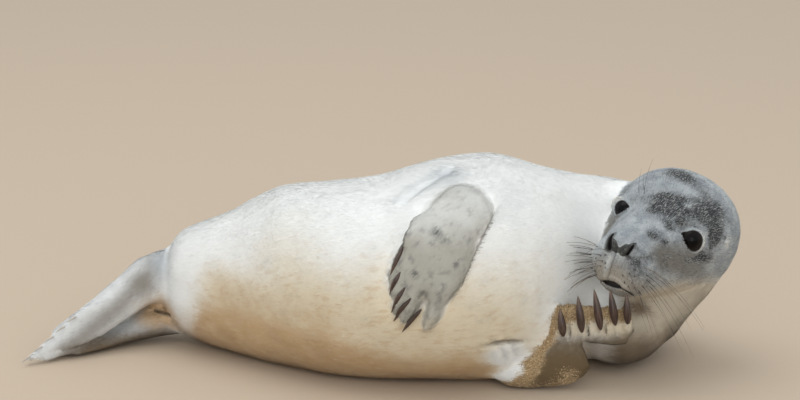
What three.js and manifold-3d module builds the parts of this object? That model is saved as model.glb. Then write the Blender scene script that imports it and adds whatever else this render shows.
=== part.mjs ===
// Grey seal pup at life size: it lies on its left side with its belly towards -Y and its head lifted,
// rolled upright and turned to look out over its lower fore flipper. A still model, with no joints.
// Millimetres, +Z up, +X from the hind flippers to the head. The origin is on the floor, under the
// middle of the whole animal.
import * as THREE from 'three';
import { mergeVertices } from 'three/addons/utils/BufferGeometryUtils.js';
import Module from 'manifold-3d';

const wasm = await Module();
wasm.setup();

// ---------------------------------------------------------------- driving dimensions
const GAP = 0.45; // clearance between neighbouring solids
const SMOOTHED = 0.12; // the most that a cut face may be evened out
const FLOOR = 0; // height of the surface that the animal lies on
const WELD = 1e-3; // points closer than this are one point
const SECTION_POWER = 2.15; // superellipse power of the body's cross-section, 2 is an ellipse
const ROUNDED_END = { trunk: 0.04, head: 0.055, limb: 0.12 }; // share of the length that an end rounds over
const CROWDING = { trunk: 0.35, head: 0.3, limb: 0.5, claw: 0.2 }; // how far rings gather at the ends
const EYE_RADIUS = 17.5;
const EYE_CENTRE = [51, -3, -4]; // left eye, in the head's own frame
const NOSE_TURN = -4.5; // the muzzle's tip is turned a little to the animal's right
const CLAW_ROOT = 0.12; // share of a claw's length over which it reaches its full width
const CLAW_POINT = 0.55; // power of a claw's taper
const CLAW_DEPTH = 0.85; // a claw's depth for its width
const CLAW_ARCH = 0.1; // rise of a claw's back for its length
const LOWER_CLAW_WIDTH = 8.5;
const HIND_CLAW = { length: 14, width: 4.5, buried: 0.55, lift: 4.5, droop: 2 };
const HIND_DIGIT = { edge: 10, thin: 5.5, thicker: 3, joint: 0.6 }; // of a digit across its sole
const TRUNK_CUTS = [-262, -120, 40, 215]; // x of the seams between rump, loin, belly, chest and neck

const UP = [0, 0, 1];
const BELLY_WAY = [0, -1, 0];
const point = (p) => new THREE.Vector3(...p);
const degrees = THREE.MathUtils.degToRad;

// ---------------------------------------------------------------- materials
const coat = (color, roughness) => new THREE.MeshStandardMaterial({ color, roughness, metalness: 0 });
const materials = {
  bodyCoat: coat(0xe6e2d8, 0.85),
  headCoat: coat(0x8d9196, 0.8),
  flipperCoat: coat(0xb4b6b6, 0.8),
  hindCoat: coat(0xa3a6a9, 0.75),
  eye: coat(0x0c0b0b, 0.08),
  nose: coat(0x2d2e31, 0.45),
  claw: coat(0x54433c, 0.4),
};

// ---------------------------------------------------------------- closed shapes and solids
// A closed skin drawn out of a sphere: the way from pole to pole becomes `along`, from 0 to 1, and
// its turn becomes `turn`, in radians. place(along, turn) gives each point; both ends draw to a point.
function drawnOut(place, sides, rings, endCrowding) {
  const geometry = new THREE.SphereGeometry(1, sides, rings);
  const position = geometry.attributes.position;
  for (let i = 0; i < position.count; i += 1) {
    const polar = Math.acos(THREE.MathUtils.clamp(position.getY(i), -1, 1)) / Math.PI;
    const crowded = (1 - Math.cos(Math.PI * polar)) / 2;
    const along = THREE.MathUtils.lerp(polar, crowded, endCrowding);
    const turn = Math.atan2(position.getZ(i), position.getX(i));
    const placed = place(along, turn);
    position.setXYZ(i, placed.x, placed.y, placed.z);
  }
  return geometry;
}

function solid(geometry) {
  const bare = geometry.clone();
  bare.deleteAttribute('normal');
  bare.deleteAttribute('uv');
  const merged = mergeVertices(bare, WELD);
  const made = (triVerts) => new wasm.Manifold(new wasm.Mesh({
    numProp: 3,
    vertProperties: merged.attributes.position.array,
    triVerts,
  }));
  const triVerts = new Uint32Array(merged.index.array);
  const first = made(triVerts);
  return first.volume() > 0 ? first : made(triVerts.slice().reverse());
}

function geometryOf(body) {
  const mesh = body.getMesh();
  const geometry = new THREE.BufferGeometry();
  geometry.setAttribute('position', new THREE.BufferAttribute(mesh.vertProperties.slice(), 3));
  geometry.setIndex(new THREE.BufferAttribute(mesh.triVerts.slice(), 1));
  geometry.computeVertexNormals();
  return geometry;
}

const union = (bodies) => wasm.Manifold.union(bodies);
function ball(at, size, lean) {
  const geometry = new THREE.SphereGeometry(1, 18, 12);
  return solid(geometry.scale(...size).rotateY(-degrees(lean)).translate(...at));
}

const largestPiece = (body) => body
  .simplify(SMOOTHED)
  .decompose()
  .reduce((a, b) => (a.volume() > b.volume() ? a : b));

// Roundness of a drawn-out end: 0 at the very end, 1 once `share` of the length has been passed.
function endCap(along, share) {
  const inFromEnd = Math.min(along, 1 - along) / share;
  return inFromEnd >= 1 ? 1 : Math.sqrt(Math.max(0, 1 - (1 - inFromEnd) ** 2));
}

// How far an end of a shape moves out along it when the whole shape is grown.
const endGrowth = (along, cap, grow) => Math.sign(along - 0.5) * grow * (1 - cap);

function superellipse(turn, power) {
  const raised = (value) => Math.sign(value) * Math.abs(value) ** (2 / power);
  return [raised(Math.cos(turn)), raised(Math.sin(turn))];
}

function onFloor(placed, floor) {
  placed.z = Math.max(placed.z, floor);
  return placed;
}

// ---------------------------------------------------------------- trunk and neck
// Where the spine's tube passes, from the rump to the nape: its middle, half its height and half its
// depth. Half heights over the middle's own height press the tube onto the floor as a flat.
const trunkStations = [
  { name: 'rump end', at: [-336, 97, 84], tall: 40, deep: 40 },
  { name: 'ankles', at: [-312, 95, 87], tall: 74, deep: 68 },
  { name: 'tail root', at: [-275, 86, 91], tall: 89, deep: 86 },
  { name: 'rump', at: [-235, 73, 96], tall: 102, deep: 104 },
  { name: 'hips', at: [-165, 43, 114], tall: 127, deep: 134 },
  { name: 'loin', at: [-95, 18, 117], tall: 135, deep: 153 },
  { name: 'waist', at: [-30, 3, 123], tall: 140, deep: 162 },
  { name: 'belly', at: [50, -3, 136], tall: 153, deep: 167 },
  { name: 'chest', at: [120, -1, 140], tall: 158, deep: 166 },
  { name: 'shoulders', at: [190, 8, 135], tall: 145, deep: 143 },
  { name: 'neck root', at: [250, 38, 126], tall: 136, deep: 105 },
  { name: 'neck', at: [305, 62, 120], tall: 129, deep: 82 },
  { name: 'nape', at: [360, 66, 121], tall: 111, deep: 74 },
  { name: 'neck end', at: [412, 68, 125], tall: 72, deep: 56 },
];
// Ellipsoids that fill the trunk out. `lean` is how far the long way of each rises from the level, in
// degrees: the folded throat lies on the floor, and its upper part leans up behind the jaw.
const BULGES = [
  { name: 'throat', at: [306, -4, 66], size: [72, 76, 68], lean: 0 },
  { name: 'throat behind the jaw', at: [357, 15, 107], size: [126, 80, 72], lean: 46 },
];
const spine = new THREE.CatmullRomCurve3(trunkStations.map((s) => point(s.at)));
const girth = new THREE.CatmullRomCurve3(trunkStations.map((s) => point([s.tall, s.deep, 0])));

function trunkPoint(along, turn, grow) {
  const placed = spine.getPoint(along);
  const size = girth.getPoint(along);
  const cap = endCap(along, ROUNDED_END.trunk);
  const [towardsBelly, upward] = superellipse(turn, SECTION_POWER);
  placed.x += endGrowth(along, cap, grow);
  placed.y -= (size.y + grow) * cap * towardsBelly;
  placed.z += (size.x + grow) * cap * upward;
  return placed;
}

function trunkSolid(grow = 0, sides = 28, rings = 30) {
  const floor = grow > 0 ? -grow : FLOOR;
  const place = (along, turn) => onFloor(trunkPoint(along, turn, grow), floor);
  const tube = solid(drawnOut(place, sides, rings, CROWDING.trunk));
  const bulges = BULGES.map(({ at, size, lean }) => ball(at, size.map((half) => half + grow), lean));
  return union([tube, ...bulges]).trimByPlane([0, 0, 1], floor);
}

// The point of the trunk's skin at one x, `angle` degrees up from its belly line, lifted off the skin.
function onTrunk(x, angle, lift = 0) {
  let low = 0;
  let high = 1;
  for (let halving = 0; halving < 30; halving += 1) {
    const middle = (low + high) / 2;
    if (spine.getPoint(middle).x < x) low = middle;
    else high = middle;
  }
  return trunkPoint(low, degrees(angle), lift);
}

// ---------------------------------------------------------------- head
// The head's own frame: x to the animal's left, y to its crown, z to its nose, from midway between
// the fronts of its eyes.
const HEAD_AT = [354, -42, 215];
const NOSE_WAY = [-0.469, -0.854, 0.224];
const CROWN_WAY = [0.328, 0.066, 0.942];
const headFrame = new THREE.Matrix4();
{
  const nose = point(NOSE_WAY).normalize();
  const left = point(CROWN_WAY).cross(nose).normalize();
  const crown = nose.clone().cross(left);
  headFrame.makeBasis(left, crown, nose).setPosition(...HEAD_AT);
}

// Cross-sections from the back of the skull to the lips: z along the head, y of the widest line, and
// how far the top, the bottom and each side lie from it.
const headStations = [
  { name: 'skull back', z: -128, widest: -15, top: 40, bottom: 45, side: 48 },
  { name: 'nape', z: -112, widest: -12, top: 72, bottom: 84, side: 80 },
  { name: 'crown', z: -75, widest: -8, top: 81, bottom: 102, side: 91 },
  { name: 'temples', z: -40, widest: -8, top: 74, bottom: 98, side: 85 },
  { name: 'brows', z: -8, widest: -12, top: 56, bottom: 94, side: 71 },
  { name: 'below the eyes', z: 15, widest: -30, top: 51, bottom: 77, side: 58 },
  { name: 'muzzle root', z: 42, widest: -46, top: 50, bottom: 60, side: 48 },
  { name: 'whisker pads', z: 66, widest: -54, top: 47, bottom: 50, side: 44 },
  { name: 'muzzle', z: 84, widest: -55, top: 40, bottom: 42, side: 35 },
  { name: 'lips', z: 93, widest: -54, top: 29, bottom: 29, side: 22 },
];
const headMiddles = new THREE.CatmullRomCurve3(headStations.map((s) => point([0, s.widest, s.z])));
const headSizes = new THREE.CatmullRomCurve3(headStations.map((s) => point([s.side, s.top, s.bottom])));

// Rounded swellings and dips on the head, mirrored left to right: middle, reach and push.
const headSwellings = [
  { name: 'brow', at: [40, 26, 6], reach: 20, push: [2, 4, 4] },
  { name: 'eye socket', at: [60, 0, 6], reach: 15, push: [-3, 0, -3] },
  { name: 'whisker pad', at: [34, -58, 79], reach: 20, push: [8, -1, 5] },
  { name: 'cheek', at: [62, -50, 5], reach: 34, push: [5, -2, 2] },
  { name: 'nose bridge', at: [14, -6, 52], reach: 18, push: [0, 1.5, 1] },
  { name: 'lower lip', at: [12, -96, 83], reach: 16, push: [0, 0, -5] },
];

function swell(placed, swelling, side) {
  const at = new THREE.Vector3(side * swelling.at[0], swelling.at[1], swelling.at[2]);
  const share = Math.exp(-placed.distanceToSquared(at) / swelling.reach ** 2);
  placed.x += side * swelling.push[0] * share;
  placed.y += swelling.push[1] * share;
  placed.z += swelling.push[2] * share;
}

function headPoint(along, turn, grow) {
  const middle = headMiddles.getPoint(along);
  const size = headSizes.getPoint(along);
  const cap = endCap(along, ROUNDED_END.head);
  const [aside, upward] = superellipse(turn, SECTION_POWER);
  const rise = upward > 0 ? size.y : size.z;
  middle.x += (size.x + grow) * cap * aside;
  middle.y += (rise + grow) * cap * upward;
  middle.z += endGrowth(along, cap, grow);
  for (const swelling of headSwellings) {
    for (const side of [1, -1]) swell(middle, swelling, side);
  }
  return middle.applyMatrix4(headFrame);
}

function headSolid(grow = 0, sides = 22, rings = 24) {
  return solid(drawnOut((along, turn) => headPoint(along, turn, grow), sides, rings, CROWDING.head));
}

// An ellipsoid at a point of the head's own frame, tilted about its z.
function headBall(at, size, tilt = 0, sides = 16, rings = 12) {
  const geometry = new THREE.SphereGeometry(1, sides, rings);
  geometry.scale(...size).rotateZ(degrees(tilt)).translate(...at);
  geometry.applyMatrix4(headFrame);
  return solid(geometry);
}

// ---------------------------------------------------------------- limbs
// A limb drawn along a curve: each station has its middle, half its width and half its thickness, and
// `face` is the way that its broad side looks.
function limbSolid(stations, { grow = 0, sides = 11, rings = 9 } = {}) {
  const middles = new THREE.CatmullRomCurve3(stations.map((s) => point(s.at)));
  const sizes = new THREE.CatmullRomCurve3(stations.map((s) => point([s.wide, s.thick, 0])));
  const faces = new THREE.CatmullRomCurve3(stations.map((s) => point(s.face)));
  const place = (along, turn) => {
    const forward = middles.getTangent(along);
    const face = faces.getPoint(along);
    face.addScaledVector(forward, -face.dot(forward)).normalize();
    const across = new THREE.Vector3().crossVectors(forward, face);
    const size = sizes.getPoint(along);
    const round = endCap(along, ROUNDED_END.limb);
    const placed = middles.getPoint(along)
      .addScaledVector(across, (size.x + grow) * round * Math.cos(turn))
      .addScaledVector(face, (size.y + grow) * round * Math.sin(turn))
      .addScaledVector(forward, endGrowth(along, round, grow));
    return onFloor(placed, FLOOR - grow);
  };
  return solid(drawnOut(place, sides, rings, CROWDING.limb));
}

// A claw: a long curved cone with a raised back. Its root is buried in its toe's own hollow.
function clawSolid({ root, tip, face, width, sides = 7, rings = 6 }) {
  const start = point(root);
  const forward = point(tip).sub(start);
  const length = forward.length();
  forward.normalize();
  const outward = point(face);
  outward.addScaledVector(forward, -outward.dot(forward)).normalize();
  const across = new THREE.Vector3().crossVectors(forward, outward);
  const place = (along, turn) => {
    const taper = Math.sqrt(Math.min(1, along / CLAW_ROOT)) * (1 - along) ** CLAW_POINT;
    const radius = 0.5 * width * taper;
    const rise = length * CLAW_ARCH * Math.sin(Math.PI * along);
    return start.clone()
      .addScaledVector(forward, length * along)
      .addScaledVector(outward, rise + CLAW_DEPTH * radius * Math.sin(turn))
      .addScaledVector(across, radius * Math.cos(turn));
  };
  return solid(drawnOut(place, sides, rings, CROWDING.claw));
}

const station = (at, wide, thick, face) => ({ at, wide, thick, face });

// A station that lies on the trunk's skin, its broad side looking straight off the skin.
function trunkStation([x, angle, lift, wide, thick]) {
  const at = onTrunk(x, angle, lift);
  const face = onTrunk(x, angle, lift + 10).sub(at).normalize();
  return station(at.toArray(), wide, thick, face.toArray());
}

// ---------------------------------------------------------------- upper (right) fore flipper
// Each row: x along the trunk, degrees up from the belly line, lift, half width, half thickness.
const upperArm = [
  [111, 60, -24, 30, 24],
  [96, 54, -10, 38, 20],
  [71, 41, 1, 39, 15],
  [54, 28, 5, 41, 12],
  [40, 15, 5, 42, 9],
  [27, 5, 4, 38, 6],
].map(trunkStation);
const upperDigits = [
  [[66, 26, 5, 10, 9], [56, 11, 6, 12, 9], [44, -4, 5, 11, 7.5], [33, -11, 3, 8, 5]],
  [[51, 27, 6, 10, 9], [33, 14, 8, 10, 9], [13, 0, 7, 8.5, 7.5], [2, -6, 4, 6, 5]],
  [[40, 28, 6, 10, 9], [20, 17, 8, 10, 9], [2, 5, 7, 8.5, 7], [-8, -1.5, 4, 6, 5]],
  [[28, 31, 6, 9, 8], [10, 24, 7, 9, 8], [-4, 13, 6, 8, 7], [-11, 6.5, 4, 5.5, 5]],
  [[17, 34, 5, 8.5, 7.5], [4, 29, 6, 8.5, 7], [-7, 20.5, 5, 7, 6], [-14, 14.5, 3, 5, 4.5]],
].map((rows) => rows.map(trunkStation));
const upperClaws = [
  { root: [27, 0, 9], tip: [3, -9.5, 5], width: 8.5 },
  { root: [14, 4.5, 10], tip: [-7, -5.5, 6], width: 8.5 },
  { root: [6, 8.5, 10], tip: [-13, 0, 6], width: 8 },
  { root: [0, 17, 9], tip: [-14, 7, 6], width: 7.5 },
  { root: [-1, 24, 8], tip: [-14, 16, 5], width: 7 },
].map(({ root, tip, width }) => {
  const start = onTrunk(...root);
  const face = onTrunk(root[0], root[1], root[2] + 10).sub(start);
  return { root: start.toArray(), tip: onTrunk(...tip).toArray(), face: face.toArray(), width };
});

// ---------------------------------------------------------------- lower (left) fore flipper
// It is bent back at the wrist: the palm lies on the floor along +X and the digits stand up from it,
// their claws on the belly side.
const lowerArm = [
  station([110, -82, 52], 30, 24, [-0.2, -1, 0.3]),
  station([150, -107, 31], 27, 19, [-0.1, -1, 0.2]),
  station([188, -114, 28], 26, 15, BELLY_WAY),
  station([222, -116, 42], 37, 14, BELLY_WAY),
  station([250, -114, 60], 32, 13, BELLY_WAY),
];
const lowerWeb = [
  station([256, -113, 66], 48, 8, BELLY_WAY),
  station([259, -113, 83], 56, 8, BELLY_WAY),
  station([260, -112, 101], 54, 6.5, BELLY_WAY),
  station([262, -111, 118], 43, 4, BELLY_WAY),
];
const lowerDigits = [[308, 306, 73], [286, 282, 70], [263, 257, 67], [239, 233, 62], [216, 210, 56]].map(
  ([rootX, tipX, rootZ]) => [
    station([rootX, -114, rootZ], 11.5, 11, BELLY_WAY),
    station([0.55 * rootX + 0.45 * tipX, -116, rootZ + 24], 9.5, 9.5, BELLY_WAY),
    station([tipX, -113, rootZ + 52], 6, 5, BELLY_WAY),
  ],
);
const lowerClaws = [
  [[309, -124, 84], [306, -126, 136]],
  [[290, -126, 84], [281, -127, 141]],
  [[269, -127, 78], [258, -128, 142]],
  [[245, -127, 74], [238, -128, 132]],
  [[220, -126, 68], [214, -127, 114]],
].map(([root, tip]) => ({ root, tip, face: BELLY_WAY, width: LOWER_CLAW_WIDTH }));

// ---------------------------------------------------------------- hind flippers and tail
const HIND_FACE = [0.3, -0.6, 0.74];
const upperHind = [
  station([-296, 90, 110], 38, 36, HIND_FACE),
  station([-345, 92, 97], 38, 27, HIND_FACE),
  station([-395, 70, 68], 29, 14, HIND_FACE),
  station([-445, 36, 40], 26, 9, HIND_FACE),
  station([-490, 8, 24], 19, 6, HIND_FACE),
];
const lowerHind = [
  station([-291, 98, 46], 36, 34, UP),
  station([-345, 100, 32], 33, 28, UP),
  station([-395, 86, 18], 32, 16, UP),
  station([-440, 56, 9], 30, 8, UP),
  station([-482, 26, 6], 30, 5, UP),
];
const tail = [
  station([-300, 126, 80], 18, 15, UP),
  station([-345, 142, 68], 17, 12, UP),
  station([-388, 152, 58], 10, 7, UP),
];

// The digits of a hind flipper run from across its sole to a slanting row of tips.
const HIND_DIGITS = 5;
const upperFan = { across: [0.5, 0.55, 0.67], firstTip: [-524, -18, 6], lastTip: [-464, 25, 50] };
const lowerFan = { across: [0.6, 0.8, 0], firstTip: [-508, -12, 7], lastTip: [-458, 80, 8] };

function hindDigits(blade, fan) {
  const sole = blade[2];
  const side = point(fan.across).normalize();
  return Array.from({ length: HIND_DIGITS }, (unused, index) => {
    const share = index / (HIND_DIGITS - 1);
    const root = point(sole.at).addScaledVector(side, (2 * share - 1) * (sole.wide - HIND_DIGIT.edge));
    const tip = point(fan.firstTip).lerp(point(fan.lastTip), share);
    const outer = Math.abs(2 * share - 1);
    const thick = HIND_DIGIT.thin + HIND_DIGIT.thicker * outer;
    return [
      station(root.toArray(), 10, thick + 3, sole.face),
      station(root.clone().lerp(tip, HIND_DIGIT.joint).toArray(), 9.5, thick + 0.5, sole.face),
      station(tip.toArray(), 6, 4.5, sole.face),
    ];
  });
}

// ---------------------------------------------------------------- building the nodes
const seal = new THREE.Group();
function addNode(name, body, material) {
  const mesh = new THREE.Mesh(geometryOf(largestPiece(body)), material);
  mesh.name = name;
  seal.add(mesh);
}

// head, with its sockets, nose pad, mouth and lower jaw
const eyeAt = (side) => [side * EYE_CENTRE[0], EYE_CENTRE[1], EYE_CENTRE[2]];
const headGrown = headSolid(GAP);
const noseBody = (grow) => headBall([NOSE_TURN, -31, 85], [24 + grow, 12.5 + grow, 13 + grow], 0, 14, 8);
const nostril = (side) => headBall([NOSE_TURN + side * 16, -31, 95], [2.2, 8.5, 6], side * -26, 6, 5);
const nostrils = nostril(1).add(nostril(-1));
const mouth = headBall([2, -88, 83], [21, 3, 12], 0, 12, 6);
const jawVolume = (grow) => headBall([0, -112, 42], [41 + grow, 20 + grow, 45 + grow], 0, 16, 10);
const eyeball = (side, grow = 0) => headBall(eyeAt(side), Array(3).fill(EYE_RADIUS + grow), 0, 12, 10);
const hollows = union([eyeball(1, GAP), eyeball(-1, GAP), noseBody(GAP), mouth, jawVolume(GAP)]);
const headBody = headSolid();
addNode('head', headBody.subtract(hollows), materials.headCoat);
addNode('lower_jaw', headBody.intersect(jawVolume(0)).subtract(mouth), materials.headCoat);
addNode('nose', noseBody(0).subtract(nostrils), materials.nose);
addNode('eye_left', eyeball(1), materials.eye);
addNode('eye_right', eyeball(-1), materials.eye);

// trunk, cut into its parts by thin seams
const trunk = trunkSolid().subtract(union([headGrown, eyeball(-1, GAP)]));
const trunkGrown = trunkSolid(GAP);
const trunkParts = ['rump', 'loin', 'belly', 'chest', 'neck'];
trunkParts.forEach((name, index) => {
  let part = trunk;
  if (index > 0) part = part.trimByPlane([1, 0, 0], TRUNK_CUTS[index - 1] + GAP / 2);
  if (index < TRUNK_CUTS.length) part = part.trimByPlane([-1, 0, 0], -(TRUNK_CUTS[index] - GAP / 2));
  addNode(name, part, materials.bodyCoat);
});

// fore flippers with their claws
function addForeFlipper(side, slabs, digits, claws) {
  const joined = (grow) => union([
    ...slabs.map((slab) => limbSolid(slab, { grow })),
    ...digits.map((digit) => limbSolid(digit, { grow, sides: 6, rings: 5 })),
  ]);
  const flipper = joined(0).subtract(union([trunkGrown, headGrown]));
  addNode(`fore_flipper_${side}`, flipper, materials.flipperCoat);
  const besideClaws = union([joined(GAP), headGrown]);
  claws.forEach((claw, index) => {
    addNode(`claw_${side}_${index + 1}`, clawSolid(claw).subtract(besideClaws), materials.claw);
  });
}
addForeFlipper('right', [upperArm], upperDigits, upperClaws);
addForeFlipper('left', [lowerArm, lowerWeb], lowerDigits, lowerClaws);

// tail and hind flippers
const tailBody = (grow) => limbSolid(tail, { grow, sides: 9, rings: 7 });
addNode('tail', tailBody(0).subtract(trunkGrown), materials.bodyCoat);
const hindBody = (blade, fan, grow = 0) => union([
  limbSolid(blade, { grow }),
  ...hindDigits(blade, fan).map((digit) => limbSolid(digit, { grow, sides: 6, rings: 5 })),
]);
const hindGrown = { left: hindBody(lowerHind, lowerFan, GAP), right: hindBody(upperHind, upperFan, GAP) };
const besideHindClaws = hindGrown.left.add(hindGrown.right);
const besideHind = trunkGrown.add(tailBody(GAP));
function addHindFlipper(side, blade, fan) {
  const neighbours = side === 'right' ? besideHind.add(hindGrown.left) : besideHind;
  addNode(`hind_flipper_${side}`, hindBody(blade, fan).subtract(neighbours), materials.hindCoat);
  hindDigits(blade, fan).forEach((digit, index) => {
    const [, joint, end] = digit;
    const forward = point(end.at).sub(point(joint.at)).normalize();
    const off = point(end.face).normalize();
    const { length, width, buried, lift, droop } = HIND_CLAW;
    const root = point(end.at).addScaledVector(forward, -buried * length).addScaledVector(off, lift);
    const tip = root.clone().addScaledVector(forward, length).addScaledVector(off, -droop);
    const ends = { root: root.toArray(), tip: tip.toArray() };
    const horn = clawSolid({ ...ends, face: end.face, width, sides: 5, rings: 4 });
    addNode(`hind_claw_${side}_${index + 1}`, horn.subtract(besideHindClaws), materials.claw);
  });
}
addHindFlipper('left', lowerHind, lowerFan);
addHindFlipper('right', upperHind, upperFan);

// the origin goes to the floor under the middle of the whole animal
const middle = new THREE.Box3().setFromObject(seal).getCenter(new THREE.Vector3());
seal.position.set(-middle.x, -middle.y, 0);

export default seal;
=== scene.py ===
# %% [markdown]
# # A grey seal pup, from CAD solids to a furred animal
#
# This lesson dresses a CAD model of a grey seal pup, which lies on its side with its head
# raised. The CAD solids already have the true size and outline. Here they become one living
# surface: a skin with a sculpted face, a short coat laid over it, wet eyes, horn claws and
# whiskers. Everything is made from numbers and functions, so each cell can be run, changed
# and run again.

# %% Tools and the CAD frame
import itertools
import math

import bmesh
import bpy
import numpy as np
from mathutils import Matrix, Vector
from mathutils.bvhtree import BVHTree


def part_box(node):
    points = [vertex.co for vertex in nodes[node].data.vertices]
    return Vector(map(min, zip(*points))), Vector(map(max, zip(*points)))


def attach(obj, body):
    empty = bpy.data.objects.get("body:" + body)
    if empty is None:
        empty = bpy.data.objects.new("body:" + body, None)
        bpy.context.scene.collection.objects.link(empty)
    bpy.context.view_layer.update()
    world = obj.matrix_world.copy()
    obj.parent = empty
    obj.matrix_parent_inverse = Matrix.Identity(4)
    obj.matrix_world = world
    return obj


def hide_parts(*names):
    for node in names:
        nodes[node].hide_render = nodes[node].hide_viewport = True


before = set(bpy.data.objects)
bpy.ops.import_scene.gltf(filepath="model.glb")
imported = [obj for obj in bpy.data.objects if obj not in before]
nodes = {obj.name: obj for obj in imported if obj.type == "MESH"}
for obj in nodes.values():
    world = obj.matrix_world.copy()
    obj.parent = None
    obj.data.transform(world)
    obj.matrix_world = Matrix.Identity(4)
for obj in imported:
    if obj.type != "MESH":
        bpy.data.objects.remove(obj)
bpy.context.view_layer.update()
MM = 0.001  # the arrays below are in millimetres, Blender's meshes are in metres

# %% [markdown]
# ## Small helpers for arrays of points
#
# A mesh with a hundred thousand points is slow to walk through one point at a time. NumPy
# moves all of them in one step, so the sculpting below is written as sums over arrays. These
# helpers are the brush strokes: a soft step between two values, a unit vector, and a
# smooth random field that gives natural unevenness.

# %% Array helpers
def unit(vectors):
    vectors = np.asarray(vectors, float)
    return vectors / np.maximum(np.linalg.norm(vectors, axis=-1, keepdims=True), 1e-9)


def soft_step(values, low, high):
    """0 below low, 1 above high, and a smooth rise between."""
    share = np.clip((np.asarray(values, float) - low) / (high - low), 0, 1)
    return share * share * (3 - 2 * share)


def fall(values, low, high):
    """1 below low, 0 above high, and a smooth drop between."""
    return 1 - soft_step(values, low, high)


def span(values, start, full, fading, gone):
    """0 outside start and gone, 1 between full and fading."""
    return soft_step(values, start, full) * fall(values, fading, gone)


def hill(distance, reach):
    """1 at distance 0, fading smoothly to nothing over about twice the reach."""
    return np.exp(-np.square(np.asarray(distance, float) / reach))


def apart(points, place):
    """How far each point lies from a place."""
    return np.linalg.norm(points - np.asarray(place, float), axis=1)


def turned_from(turn, start):
    """The angle from start to turn, between minus and plus half a turn."""
    return (turn - start + math.pi) % (2 * math.pi) - math.pi


def soft_noise(points, size, seed):
    """Smooth random values from -1 to 1, with features about `size` across (one number or three)."""
    grid = np.asarray(points, float) / np.asarray(size, float)
    cell = np.floor(grid).astype(np.int64)
    part = grid - cell
    part = part * part * (3 - 2 * part)
    total = np.zeros(len(grid))
    for corner in itertools.product((0, 1), repeat=3):
        place = cell + np.array(corner)
        mixed = place[:, 0] * 73856093 ^ place[:, 1] * 19349663 ^ place[:, 2] * 83492791
        mixed = (mixed ^ (seed * 40503)) & 0xFFFFFFFF
        mixed = ((mixed ^ (mixed >> 13)) * 1274126177) & 0xFFFFFFFF
        mixed = (mixed ^ (mixed >> 16)) & 0xFFFFFF
        share = np.where(np.array(corner) == 1, part, 1 - part).prod(axis=1)
        total += share * (mixed / 0xFFFFFF * 2 - 1)
    return total


def colour(red, green, blue):
    """A colour as painters' charts give it, 0 to 255, turned into Blender's linear values."""
    values = np.array([red, green, blue]) / 255
    linear = np.where(values <= 0.04045, values / 12.92, ((values + 0.055) / 1.055) ** 2.4)
    return (*linear, 1.0)


# %% Helpers that read and write meshes
def read(items, field, width, kind=float):
    """One row of `width` numbers for each of a mesh's points, edges or corners."""
    flat = np.empty(len(items) * width, kind)
    items.foreach_get(field, flat)
    return flat.reshape(-1, width)


def points_of(mesh):
    return read(mesh.vertices, "co", 3) / MM


def set_points(mesh, points):
    mesh.vertices.foreach_set("co", (np.asarray(points) * MM).ravel())
    mesh.update()


def normals_of(mesh):
    return read(mesh.vertices, "normal", 3)


def edges_of(mesh):
    return read(mesh.edges, "vertices", 2, np.int32)


def triangles_of(mesh):
    mesh.calc_loop_triangles()
    return read(mesh.loop_triangles, "vertices", 3, np.int32)


def write_mask(mesh, name, values, kind="FLOAT"):
    layer = mesh.attributes.new(name, kind, "POINT")
    field = "vector" if kind == "FLOAT_VECTOR" else "value"
    layer.data.foreach_set(field, np.asarray(values, np.float32).ravel())


def new_object(name, points, faces):
    mesh = bpy.data.meshes.new(name)
    faces = faces.tolist() if isinstance(faces, np.ndarray) else faces
    mesh.from_pydata((np.asarray(points) * MM).tolist(), [], faces)
    mesh.update()
    made = bpy.data.objects.new(name, mesh)
    bpy.context.scene.collection.objects.link(made)
    return made


def shade_smooth(mesh):
    mesh.polygons.foreach_set("use_smooth", np.ones(len(mesh.polygons), bool))
    mesh.update()


def new_material(name, **settings):
    """A material, its node tree and its shader's sockets; a setting's _ stands for a socket's space."""
    material = bpy.data.materials.new(name)
    material.use_nodes = True
    sockets = material.node_tree.nodes["Principled BSDF"].inputs
    for socket, value in settings.items():
        sockets[socket.replace("_", " ")].default_value = value
    return material, material.node_tree, sockets


def ring_faces(rings, sides):
    """The faces of a tube whose points are given ring by ring, with a cap at each end."""
    faces = [
        (r * sides + s, r * sides + (s + 1) % sides, (r + 1) * sides + (s + 1) % sides, (r + 1) * sides + s)
        for r in range(rings - 1) for s in range(sides)
    ]
    return faces + [tuple(range(sides))[::-1], tuple(range((rings - 1) * sides, rings * sides))]


def relax(values, edges, rounds, weight=1.0):
    """Each round moves every value towards the mean of its neighbours' values."""
    count = len(values)
    first, second = edges.T
    sharing = np.maximum(np.bincount(first, minlength=count) + np.bincount(second, minlength=count), 1)
    for step in range(rounds):
        total = np.stack([
            np.bincount(first, column[second], count) + np.bincount(second, column[first], count)
            for column in values.T
        ], axis=1)
        pull = weight(step)[:, None] if callable(weight) else weight
        values = values + (total / sharing[:, None] - values) * pull
    return values

# %% [markdown]
# ## Camera, floor and light
#
# The animal is seen from belly height, a little from above. A long lens from a few metres
# away keeps the head and the body in true proportion, as wildlife is usually seen. The floor
# is a plain pale plane. One large soft lamp stands above, like a bright overcast sky, a wide
# faint one stands in front, and an even world light fills the shadows, so that the coat's own
# colours show.

# %% The camera
CAMERA_AT = (0.0277, -4.2606, 1.458)
CAMERA_DOWN = 16  # degrees below level

camera_data = bpy.data.cameras.new("camera")
camera_data.lens = 144.6
camera_data.sensor_width = 36
camera = bpy.data.objects.new("camera", camera_data)
camera.location = CAMERA_AT
camera.rotation_euler = (math.radians(90 - CAMERA_DOWN), 0, 0)
bpy.context.scene.collection.objects.link(camera)
bpy.context.scene.camera = camera
bpy.context.scene.view_settings.view_transform = "Standard"
print("camera", tuple(camera.location))

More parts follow.
